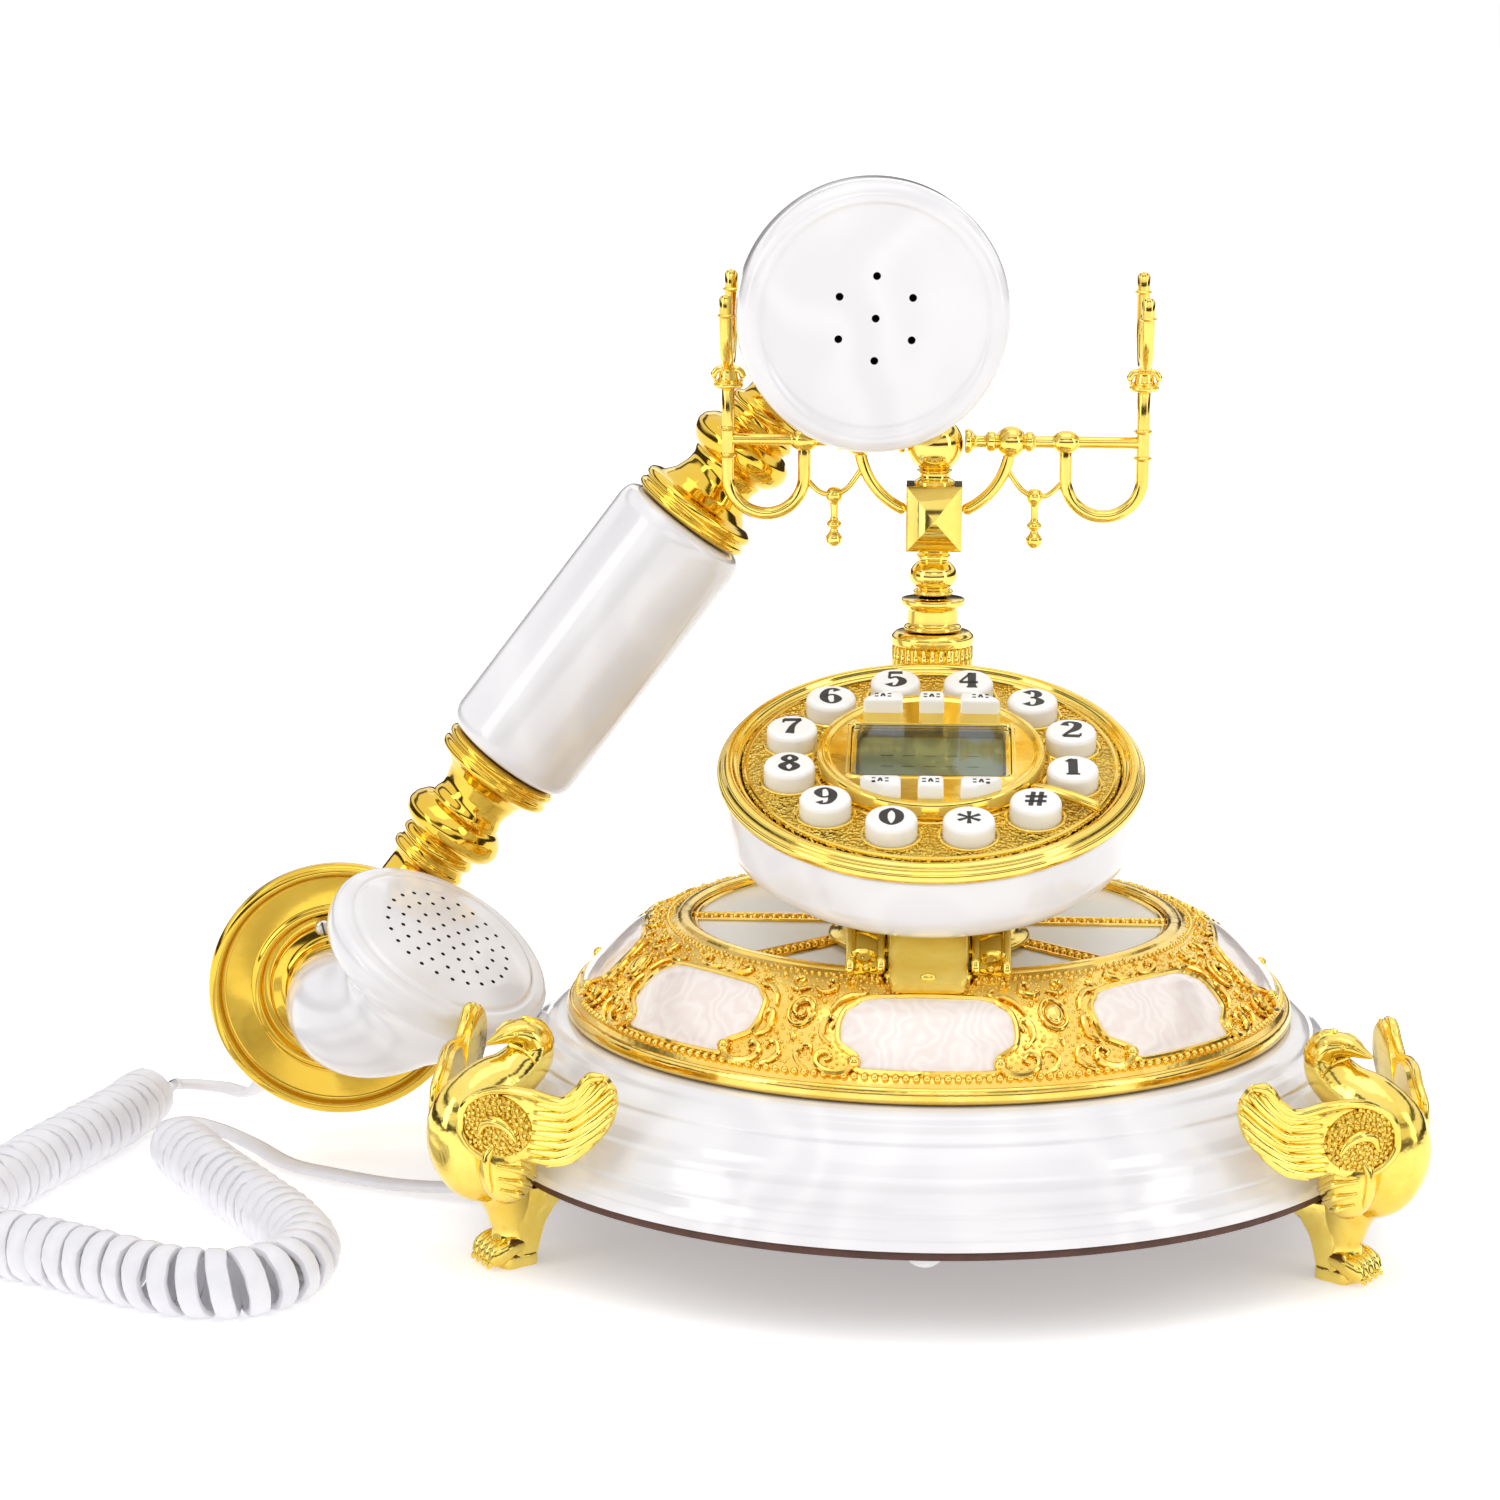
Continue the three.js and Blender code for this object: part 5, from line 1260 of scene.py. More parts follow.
# ---------------------------------------------------------------- pedestal
@dataclass
class Pedestal:
    """The gilt stand under the dial: a dish, a waisted stem and a bracketed apron."""

    def build(self) -> None:
        """Makes the stand."""
        stand = Casting(AXIS)
        dish = eased([(0, -19.6), (35, -19.6), (35.2, -20.6), (33.6, -21.8), (30, -23), (26.5, -25.2),
            (19, -27), (0, -28.6)], 0.8)
        stand.turned(dish, 96, through=AXIS.inverted() @ DIAL)
        stem = eased([(0, 61.6), (21, 61.6), (21, 62.8), (19.4, 63.6), (18.6, 65.2), (15.4, 67.2), (14, 70),
            (14, 88), (0, 88)], 0.8)
        stand.turned(stem, 72, through=Matrix.Translation((0, -16, 0)))
        apron = [((0, -38, 72), 8.8, 6), ((0, -44, 70.5), 8.6, 5.2), ((0, -49.5, 67.4), 8.2, 3.2),
            ((0, -53.5, 64.8), 8.0, 2.1), ((0, -57.6, 62.9), 8.0, 1.5), ((0, -60.4, 61.6), 7.2, 1.2)]
        stand.lofted(apron, Vector((1, 0, 0)), 5, 32, 0.55)
        for z, reach, wide in ((63.4, -58.6, 8.3), (66.8, -51.2, 8.5)):
            stand.tube([Vector((wide * sin(a), reach + 1.6 * (1 - cos(a)), z))
                for a in (pi * k / 16 - pi / 2 for k in range(17))], 0.5, 8)
        stand.ball((0, -59.2, 63.6), (1.7, 0.8, 1.0), 14)
        for hand in (-1, 1):
            self.bracket(stand, hand)
        stand.make("dial_stand", Body.BASE, [CAST_GILT], ["pedestal"])

    def bracket(self, stand: Casting, hand: int) -> None:
        """Adds the leafy bracket on one side of the apron."""
        x = hand
        stand.lofted([((x * 12.4, -36, 67.5), 4, 4.6), ((x * 12.4, -43, 66.5), 4, 3.6),
            ((x * 12.2, -48.5, 64.4), 3.6, 2.2), ((x * 12, -52, 62.9), 3, 1.2)], Vector((1, 0, 0)), 4, 20,
            0.7)
        for shift, z in ((9.4, 0), (15.6, -0.4)):
            line = catmull([(x * shift, -37.5, 71.6 + z), (x * shift, -43.5, 70.4 + z),
                (x * shift, -48.4, 67.2 + z), (x * shift, -52.6, 64.0 + z), (x * shift, -54.8, 64.2 + z),
                (x * shift, -54.2, 65.8 + z)], 5)
            stand.tube(line, 0.95, 10)
        for k in range(5):
            y, z = -40 - 2.9 * k, 70.6 - 1.25 * k - 0.12 * k * k
            stand.ball((x * 12.4, y, z), (1.5 - 0.12 * k, 1.3, 1.1), 12)
        spiral = [Vector((x * (12.6 + r * cos(a)), -50.6 - r * sin(a) * 0.6, 65.4 + r * sin(a) * 0.8)) for a,
            r in ((0.55 * k, 2.7 - 0.18 * k) for k in range(13))]
        stand.tube(spiral, [0.75 - 0.03 * k for k in range(13)], 8)


# ---------------------------------------------------------------- swan feet
@dataclass
class SwanFoot:
    """A gilt swan on a lion's paw, in its own frame: +X outwards, the paw's middle at x = 0."""

    angle: float
    reach: float = 97.9
    shoulder_height: float = 30.2
    toes: tuple[float, ...] = (-3.9, -1.35, 1.35, 3.9)
    wing_root: float = 8.9
    wing_length: float = 43.4
    blade: tuple[float, float] = (16.0, 4.0)
    shoulder: tuple[float, float] = (8.8, 3.4)
    shoulder_size: tuple[float, float] = (8.2, 6.6)
    thigh_size: tuple[float, float, float] = (6.2, 5.2, 8.2)
    stipples: int = 90

    def build(self, name: str, node: str) -> None:
        """Makes one swan foot."""
        self.cast = Casting(AXIS @ Matrix.Rotation(radians(self.angle), 4,
            "Z") @ Matrix.Translation((self.reach, 0, 0)))
        self.line = catmull([(16.2, 1.6, 0), (13.6, 6.2, 0), (10, 10.2, 0), (6, 16.8, 0), (1.4, 23.2, 0),
            (-4.2, 29.4, 0), (-11.5, 34.2, 0)], 10)
        self.body()
        self.leg()
        for side in Side:
            self.wing(side.value)
            self.feathers(side.value)
        self.cast.make(name, Body.BASE, [CAST_GILT, STIPPLED_GILT], [node])

    def body(self) -> None:
        """Casts the chest, the S-shaped neck, the head and the beak."""
        y = Vector((0, 1, 0))
        self.cast.lofted([((2.5, 0, 15.6), 4.2, 3.4), ((6.8, 0, 20.5), 7.0, 6.8), ((8.8, 0, 26.6), 8.2, 8.2),
            ((8.0, 0, 32.0), 7.6, 8.4), ((4.2, 0, 36.6), 6.4, 6.8), ((-1.0, 0, 39.4), 5.3, 5.5),
            ((-4.6, 0, 42.4), 4.7, 5.0), ((-5.4, 0, 45.3), 4.2, 4.3), ((-3.4, 0, 47.7), 3.8, 3.1),
            ((-0.2, 0, 48.0), 2.6, 2.1), ((2.4, 0, 47.2), 1.3, 1.15), ((4.4, 0, 46.6), 0.5, 0.4)], y, 6, 28)
        for hand in (-1, 1):
            self.cast.ball((-0.9, hand * 2.5, 48.5), 0.75, 12)
            brow = catmull([(-4.4, hand * 3.5, 49.2), (-1.6, hand * 2.8, 49.7), (1.4, hand * 1.7, 48.4)], 4)
            self.cast.tube(brow, 0.42, 8)
            cheek = catmull([(0.4, hand * 2.0, 46.4), (-2.2, hand * 3.6, 45.0), (-4.2, hand * 4.6, 42.4)], 4)
            self.cast.tube(cheek, 0.38, 8)
        self.cast.tube(catmull([(-9.4, 0, 42.4), (-9.6, 0, 46.2), (-7.2, 0, 49.6), (-3.6, 0, 50.8)], 5), 0.7,
            8)

    def leg(self) -> None:
        """Casts the thigh, the shank, the web behind it and the paw."""
        y = Vector((0, 1, 0))
        self.cast.lofted([((2.0, 0, 22), 6.6, 7.4), ((1.2, 0, 17), 6.2, 6.4), ((0.2, 0, 13.4), 5.2, 5.2),
            ((-0.4, 0, 10.2), 4.4, 4.6), ((-0.8, 0, 7.4), 3.9, 4.2), ((-0.6, 0, 4.6), 4.2, 4.4),
            ((-0.2, 0, 2.2), 4.4, 4.4)], y, 5, 24)
        web = [(-1, 2.6), (-4.6, 2.8), (-5.4, 6), (-6.4, 9), (-8.4, 12), (-11.4, 14.4), (-14, 16.1),
            (0, 16.1)]
        self.cast.slab(web, -4.2, 4.2, 0.6, through=Matrix.Rotation(radians(90), 4, "X"))
        sole = catmull([(-4.8, -3.4, 0), (-5.6, 0, 0), (-4.8, 3.4, 0), (-1, 4.3, 0), (2.2, 4.6, 0),
            (3.6, 0, 0), (2.2, -4.6, 0), (-1, -4.3, 0)], 5, closed=True)
        self.cast.slab([(p.x, p.y) for p in sole], 0, 3.2, 1.2)
        for toe in self.toes:
            self.cast.lofted([((-1.6, toe * 0.7, 4.6), 1.5, 1.8), ((1.6, toe * 0.95, 4.3), 1.7, 2.2),
                ((4.0, toe, 2.9), 1.65, 2.3), ((5.5, toe, 1.6), 1.1, 1.3)], y, 4, 14)
            self.cast.lofted([((5.0, toe, 2.2), 0.8, 0.8), ((6.0, toe, 1.3), 0.6, 0.7),
                ((6.4, toe, 0.6), 0.25, 0.3)], y, 3, 8)
        for hand in (-1, 1):
            self.cast.ball(self.thigh(hand), self.thigh_size, 24)
            for points in ([(-0.5, 0.8), (0.1, 0.68), (0.62, 0.36)],
                    [(-0.6, 0.48), (0.1, 0.34), (0.76, 0.02)], [(-0.65, 0.14), (0.1, 0.0), (0.78, -0.3)],
                    [(-0.6, -0.2), (0.1, -0.34), (0.64, -0.6)], [(-0.5, -0.5), (0.05, -0.64), (0.42, -0.8)]):
                self.thigh_rib(hand, points, [0.5, 0.62, 0.95, 0.62, 0.4])
            self.thigh_rib(hand, [(-0.55, 0.74), (-0.86, 0.34), (-0.9, -0.1), (-0.74, -0.56)],
                [0.4, 0.9, 1.0, 0.9, 0.4])

    def thigh(self, hand: int) -> Vector:
        """Returns the middle of a thigh."""
        return Vector((4.6, hand * 10.4, 24.2))

    def thigh_rib(self, hand: int, points: Path, radii: Sequence[float]) -> None:
        """Lays a tapering rib on the side of a thigh, along shares of its half width and height."""
        line, (long, wide, tall) = [], self.thigh_size
        for p in catmull([(*q, 0) for q in points], 6):
            deep = sqrt(max(1 - p.x ** 2 - p.y ** 2, 0.02))
            line.append(self.thigh(hand) + Vector((-long * p.x, hand * wide * deep, tall * p.y)))
        self.cast.tube(line, tapered(radii, 6, len(line)), 10)

    def on_wing(self, hand: int, p: float, q: float, lift: float = 0.0) -> Vector:
        """Returns a point of a wing's curved face.

        Args:
            hand: which wing.
            p: how far it lies behind the shoulder's middle.
            q: how far it lies above it.
            lift: how far it stands off the face.
        """
        where = (p + self.wing_root) / self.wing_length * (len(self.line) - 1)
        where = min(max(where, 0), len(self.line) - 1.001)
        k = int(where)
        flat = self.line[k].lerp(self.line[k + 1], where - k)
        along = (self.line[k + 1] - self.line[k]).normalized()
        out = Vector((along.y, -along.x, 0))
        x, y = flat.x + out.x * lift, flat.y + out.y * lift
        return Vector((x, hand * y, self.shoulder_height + q))

    def strand(self, hand: int, points: Path, radii: Sequence[float], lift: float = 0.3,
               tone: int = 0) -> None:
        """Runs a tapering rib over a wing."""
        line = catmull([(*p, 0) for p in points], 6)
        middle = [self.on_wing(hand, p.x, p.y, lift) for p in line]
        self.cast.tube(middle, tapered(radii, 6, len(middle)), 10, tone=tone)

    def wing(self, hand: int) -> None:
        """Casts a wing's thick sheet and its stippled shoulder."""
        outline = [(0.6, -0.5), (3.7, -2.6), (7, -3.8), (11, -4.4), (15.2, -2.8), (18.8, -3.3), (22.3, -2.7),
            (26.2, -0.4), (29.6, 3.1), (31.6, 6.9), (32.2, 11.4), (31.6, 14), (29.9, 16.1), (27.6, 15.4),
            (25.6, 12.4), (22.3, 10.1), (16.7, 10.9), (10.7, 10.9), (5.3, 9.2), (0.6, 6.3), (-0.7, 2.1)]
        line = catmull([(*p, 0) for p in outline], 4, closed=True)
        rows, (x, y) = [], self.blade
        for t, lift in ((0.02, -2.6), (0.5, -2.4), (0.94, -1.7), (1.0, -0.9), (0.97, -0.1), (0.85, 0.2),
                (0.5, 0.3), (0.02, 0.3)):
            rows.append([self.on_wing(hand, x + (p.x - x) * t, y + (p.y - y) * t, lift) for p in line])
        self.cast.grid(rows, caps=True)
        (x, y), (long, tall) = self.shoulder, self.shoulder_size
        dome = [[self.on_wing(hand, x + long * t * p.x, y + tall * t * p.y, lift) for p in around(1, 32)]
            for t, lift in ((1.0, -0.5), (0.96, 0.7), (0.7, 1.25), (0.35, 1.55), (0.02, 1.6))]
        self.cast.grid(dome, caps=True, tone=1)
        for k in range(self.stipples):
            r, a = (long - 0.2) * sqrt((k + 0.5) / self.stipples), GOLDEN_ANGLE * k
            spot = self.on_wing(hand, x + r * cos(a), y + 0.8 * r * sin(a),
                0.75 + 0.9 * (1 - (r / (long + 0.2)) ** 2))
            self.cast.ball(spot, 0.42, 8)

    def feathers(self, hand: int) -> None:
        """Casts the rim of the shoulder, its crescent and the long feathers."""
        self.strand(hand, [(9, -4.3), (6.4, -3.8), (3.4, -2.6), (0.6, -0.5), (-0.6, 2.1), (0.7, 6.3),
            (5.3, 9.2), (10.7, 10.9), (16.7, 10.9), (22.3, 10.1), (25.6, 12.4), (27.6, 15.4), (29.6, 15.8)],
            [0.5, 0.85, 0.9, 0.95, 0.95, 0.95, 0.95, 1.0, 1.05, 1.1, 1.2, 1.2, 0.8])
        for points in ([(17.6, 9.2), (23, 9.0), (26.2, 11.2), (28.3, 14.4)],
                [(17.4, 7.3), (23.6, 7.6), (27.4, 10.7), (30.0, 14.2)],
                [(17.2, 5.3), (24, 5.7), (28, 9.0), (31.4, 12.7)], [(17.0, 3.2), (24, 3.6), (28.3, 6.8),
                (31.7, 10.5)], [(16.6, 1.2), (23.3, 1.5), (27.7, 4.3), (31.0, 7.9)],
                [(16.0, -0.7), (21.8, -0.5), (26.2, 1.7), (29.8, 4.9)],
                [(16.2, -2.4), (20.2, -2.3), (24.3, -0.9), (27.8, 2.2)]):
            self.strand(hand, points, [0.5, 1.0, 1.2, 0.95])
            self.strand(hand, [(p - 0.2, q - 0.95) for p, q in points[1:]], [0.3, 0.45, 0.3], 0.75)
        self.strand(hand, [(5.6, 1.0), (7.2, 3.6), (9.8, 4.6), (12.4, 3.6), (14.1, 1.2)],
            [0.3, 0.95, 1.3, 0.95, 0.3], 1.7)


# ---------------------------------------------------------------- dial
GLYPHS: dict[str, tuple[tuple[tuple[float, float, float], ...], ...]] = {
    "1": (((0, -0.46, 0.2), (0, 0.46, 0.2)), ((-0.2, -0.47, 0.07), (0.2, -0.47, 0.07)),
          ((0, 0.46, 0.07), (-0.2, 0.3, 0.07))),
    "2": (((-0.19, 0.25, 0.2), (-0.14, 0.42, 0.1), (0.02, 0.47, 0.07), (0.2, 0.32, 0.17), (0.14, 0.06, 0.17),
           (-0.08, -0.18, 0.09), (-0.25, -0.42, 0.07)), ((-0.24, -0.4, 0.12), (0.25, -0.42, 0.13)),
          ((0.26, -0.42, 0.05), (0.28, -0.24, 0.05))),
    "3": (((-0.18, 0.3, 0.2), (-0.06, 0.46, 0.07), (0.12, 0.4, 0.12), (0.17, 0.22, 0.17), (0.06, 0.05, 0.07),
           (-0.06, 0.03, 0.06)), ((-0.06, 0.03, 0.06), (0.12, -0.02, 0.08), (0.22, -0.24, 0.19),
                                  (0.06, -0.46, 0.07), (-0.1, -0.46, 0.08), (-0.2, -0.32, 0.2))),
    "4": (((0.08, 0.48, 0.06), (-0.27, -0.14, 0.06)), ((-0.28, -0.16, 0.1), (0.28, -0.16, 0.1)),
          ((0.1, 0.47, 0.18), (0.1, -0.43, 0.18)), ((-0.06, -0.47, 0.07), (0.26, -0.47, 0.07))),
    "5": (((-0.17, 0.47, 0.06), (-0.19, 0.04, 0.06)), ((-0.17, 0.42, 0.12), (0.21, 0.43, 0.12)),
          ((-0.19, 0.04, 0.07), (0.03, 0.13, 0.08), (0.21, -0.06, 0.17), (0.19, -0.26, 0.18),
           (0.02, -0.46, 0.07), (-0.12, -0.45, 0.08), (-0.2, -0.3, 0.2))),
    "6": (((0.17, 0.32, 0.18), (0.08, 0.46, 0.07), (-0.12, 0.38, 0.1), (-0.21, 0.08, 0.18),
           (-0.2, -0.22, 0.17), (-0.04, -0.46, 0.07), (0.13, -0.42, 0.09), (0.21, -0.2, 0.18),
           (0.1, 0.05, 0.07),
           (-0.08, 0.03, 0.06), (-0.16, -0.1, 0.06)),),
    "7": (((-0.25, 0.4, 0.13), (0.26, 0.42, 0.12)),
          ((0.25, 0.42, 0.07), (0.03, 0.04, 0.11), (-0.06, -0.46, 0.2)),
          ((-0.26, 0.44, 0.05), (-0.27, 0.22, 0.05))),
    "8": (((0, 0.06, 0.09), (-0.17, 0.26, 0.14), (0, 0.47, 0.07), (0.17, 0.26, 0.14), (0, 0.06, 0.09)),
          ((0, 0.06, 0.09), (-0.21, -0.2, 0.17), (0, -0.47, 0.08), (0.21, -0.2, 0.17), (0, 0.06, 0.09))),
    "0": (((0, 0.47, 0.07), (-0.21, 0.2, 0.17), (-0.21, -0.2, 0.17), (0, -0.47, 0.07), (0.21, -0.2, 0.17),
           (0.21, 0.2, 0.17), (0, 0.47, 0.07)),),
    "hash": (((-0.16, -0.42, 0.1), (-0.06, 0.42, 0.1)), ((0.08, -0.42, 0.1), (0.18, 0.42, 0.1)),
             ((-0.3, 0.14, 0.1), (0.32, 0.14, 0.1)), ((-0.32, -0.14, 0.1), (0.3, -0.14, 0.1))),
    "marks": (((-0.9, 0.3, 0.16), (-0.5, 0.3, 0.16)), ((-0.9, -0.3, 0.16), (-0.5, -0.3, 0.16)),
              ((-0.2, -0.35, 0.16), (0, 0.3, 0.16), (0.2, -0.35, 0.16)),
              ((0.5, 0.3, 0.16), (0.9, 0.3, 0.16)), ((0.5, -0.3, 0.16), (0.9, -0.3, 0.16))),
}
GLYPHS["9"] = tuple(tuple((-x, -y, w) for x, y, w in stroke) for stroke in GLYPHS["6"])
GLYPHS["star"] = tuple(((0, 0, 0.03), (0.36 * sin(a), 0.36 * cos(a), 0.1))
                       for a in (pi * k / 3 for k in range(6)))


@dataclass
class Dial:
    """The tilted drum with its bezel, faceplate, display and keys."""

    radius: float = 43.6
    key_circle: float = 29.8
    key_radius: float = 5.25
    key_gap: float = 0.7
    key_top: float = 3.9
    first_key: float = -15.0
    key_step: float = 30.0
    plate: float = -0.4
    frame_radius: float = 23.4
    frame_top: float = 3.4
    window: tuple[float, float] = (30.6, 19.4)
    row: float = 17.8
    row_depth: float = 4.0
    outer_key: tuple[float, float] = (6.0, 14.2)
    middle_key: float = 2.6
    small_key_proud: float = 2.6
    stop_angle: float = -30.0
    boldness: float = 1.4
    keys: tuple[str, ...] = ("1", "2", "3", "4", "5", "6", "7", "8", "9", "0", "star", "hash")

    def build(self) -> None:
        """Makes the dial's pieces."""
        turning("dial_drum", DIAL, [(41, -3.2), (43, -3.2), (43, -12.6), (42.5, -14.6), (41.2, -16.6),
            (38.6, -18.4), (35.6, -19.2), (6, -19.3), (6, -17.3), (35, -17.3), (40, -14.6), (41, -12.6)], 1.2,
            160, Body.BASE, PEARL, "drum_housing", 4)
        turning("dial_bezel", DIAL, [(41, -2.9), (43.6, -2.9), (44.0, -2.3), (44.0, -1.3), (43.6, -0.7),
            (43.0, -0.5), (42.7, 0.4), (41.9, 0.8), (41.0, 0.7), (40.5, 0.0), (40.0, -0.4), (39.4, -0.5),
            (39.0, -1.2), (39.0, -2.9)], 0.3, 160, Body.BASE, GILT, "bezel")
        self.face()
        self.display()
        for i, name in enumerate(self.keys):
            spot = self.key_spot(i)
            self.key(name, spot.x, spot.y)
        for row, way in (("top", 1), ("bottom", -1)):
            for column, side in (("left", -1), ("middle", 0), ("right", 1)):
                self.function_key(f"function_key_{row}_{column}", side, way)

    def key_spot(self, i: int) -> Vector:
        """Returns the middle of a round key on the faceplate's plane."""
        angle = radians(self.first_key + self.key_step * i)
        return Vector((self.key_circle * cos(angle), self.key_circle * sin(angle), 0))

    def face(self) -> None:
        """Makes the stippled faceplate, the rims round the keys and the finger stop."""
        plate = Casting(DIAL)
        plate.turned([(22, -3.2), (38.8, -3.2), (38.8, self.plate), (22, self.plate)], 160, tone=0)
        for i in range(len(self.keys)):
            middle = self.key_spot(i) + Vector((0, 0, self.plate + 0.05))
            ring = [middle + p for p in around(self.key_radius + self.key_gap, 32)]
            plate.tube(ring, 0.38, 8, closed=True, tone=1)
        turn = Matrix.Rotation(radians(self.stop_angle), 4, "Z")
        plate.tube([turn @ Vector((r, 0, z)) for r, z in ((24.4, 1.3), (28, 1.8), (34, 1.8), (38.2, 1.2))],
            1.15, 10, tone=1, up=Vector((0, 0, 1)))
        for r in (24.4, 38.0):
            plate.tube(around(r, 120, self.plate + 0.1), 0.45, 8, closed=True, tone=1)
        plate.make("dial_face", Body.BASE, [STIPPLED_GILT, GILT], ["faceplate"])

    def display(self) -> None:
        """Makes the smooth plate round the window and the display under its lens."""
        width, height = self.window
        sides = 160

        def window(grow: float, z: float) -> list[Vector]:
            """Returns the window's outline, grown on all sides, at a height."""
            row = []
            for k in range(sides):
                a = 2 * pi * k / sides
                c, s = cos(a), sin(a)
                w, h = width / 2 + grow, height / 2 + grow
                reach = ((abs(c) / w) ** 24 + (abs(s) / h) ** 24) ** (-1 / 24)
                row.append(Vector((c * reach, s * reach, z)))
            return row

        top = self.frame_top
        plate = Casting(DIAL)
        edge = self.frame_radius
        plate.grid([around(edge, sides, self.plate), around(edge, sides, top - 0.7),
            around(edge - 0.3, sides, top - 0.2), around(edge - 0.9, sides, top),
            around(edge - 1.6, sides, top - 0.1), around(edge - 2.1, sides, top - 0.5),
            around(edge - 2.7, sides, top - 0.55), window(2.0, top - 0.55), window(1.7, top - 0.3),
            window(1.2, top - 0.3), window(1.0, top - 0.6), window(1.0, top - 1.6), window(0, top - 1.6),
            window(0, self.plate)], ring=True)
        # The dark liner round the window's walls is painted shade for the deep recess.
        plate.grid([window(0.02, top - 1.65), window(-0.5, top - 1.65), window(-0.5, 0), window(0.02, 0)],
            ring=True, tone=1)
        plate.make("display_surround", Body.BASE, [GILT, DARK], ["display_frame"])
        panel = Casting(DIAL)
        panel.grid([window(-0.3, -6.9), window(-0.3, 0.2), window(-0.9, 0.25)], caps=True)
        for x, row in ((-9, 4.2), (-4.6, 4.2), (-0.2, 4.2), (4.2, 4.2), (8.6, 4.2)):
            for dy in (-2.2, 2.2):
                panel.tube([Vector((x - 1.2, row + dy - 5, 0.27)), Vector((x + 1.2, row + dy - 5, 0.27))],
                    0.13, 6, tone=1)
        panel.make("display_panel", Body.BASE, [LIQUID, BOARD], ["display_module"])

    def legend(self, casting: Casting, glyph: str, x: float, y: float, z: float, size: float,
               stretch: float = 1.0) -> None:
        """Prints a character as a thin raised layer of ink."""
        for stroke in GLYPHS[glyph]:
            line = catmull(stroke, 6 if len(stroke) > 2 else 1)
            rows = []
            for i, p in enumerate(line):
                way = line[min(i + 1, len(line) - 1)].xy - line[max(i - 1, 0)].xy
                side = Vector((-way.y, way.x)).normalized() * (max(p.z, 0.05) * self.boldness / 2)
                corners = []
                for sign, level in ((-1, z - 0.2), (-1, z + 0.05), (1, z + 0.05), (1, z - 0.2)):
                    flat = p.xy + side * sign
                    corners.append(Vector((x + flat.x * size * stretch, y + flat.y * size, level)))
                rows.append(corners)
            casting.grid(rows, caps=True, tone=1)

    def key(self, name: str, x: float, y: float) -> None:
        """Makes a round key with its character."""
        key = Casting(DIAL)
        r, top = self.key_radius, self.key_top
        outline = eased([(0, -5.5), (r, -5.5), (r, top - 1.0), (r - 0.35, top - 0.3), (r - 1.1, top),
            (0, top)], 0.3)
        key.turned(outline, 48, through=Matrix.Translation((x, y, 0)))
        self.legend(key, name, x, y, top, 6.6, 1.05)
        key.make(f"cap_{name}", f"key_{name}_body", [KEY_WHITE, INK], [f"key_{name}"])

    def function_key(self, name: str, side: int, way: int) -> None:
        """Makes a small key with plain marks; the outer ones end in an arc beside the rim.

        Args:
            name: the key's name.
            side: -1 for the left key, 0 for the middle one and 1 for the right one.
            way: 1 behind the display, -1 in front of it.
        """
        near, far = self.row - self.row_depth / 2, self.row + self.row_depth / 2
        left, right = self.outer_key if side else (-self.middle_key, self.middle_key)
        reach = self.frame_radius - 1.65
        arc = [(min(right, sqrt(reach ** 2 - y ** 2)), y) for y in (near + 0.4 + (far - near - 0.8) * k / 5
            for k in range(6))]
        outline = [(left + 0.5, near), (arc[0][0] - 0.5, near), *arc, (arc[-1][0] - 0.5, far),
            (left + 0.5, far), (left, far - 0.4), (left, near + 0.4)]
        mirror = side or 1
        middle = Vector((sum(x for x, _ in outline) / len(outline), self.row)) if side else Vector((0,
            self.row))
        key, top = Casting(DIAL), self.frame_top + self.small_key_proud
        rows = []
        for t, z in ((1.0, -5.5), (1.0, top - 0.7), (0.96, top - 0.25), (0.87, top), (0.05, top + 0.05)):
            rows.append([Vector((mirror * (middle.x + (x - middle.x) * t),
                way * (middle.y + (y - middle.y) * t), z)) for x, y in outline])
        key.grid(rows, caps=True)
        self.legend(key, "marks", mirror * middle.x, way * middle.y, top + 0.02, 1.9)
        key.make(f"cap_{name}", f"{name}_body", [KEY_WHITE, INK], [name])


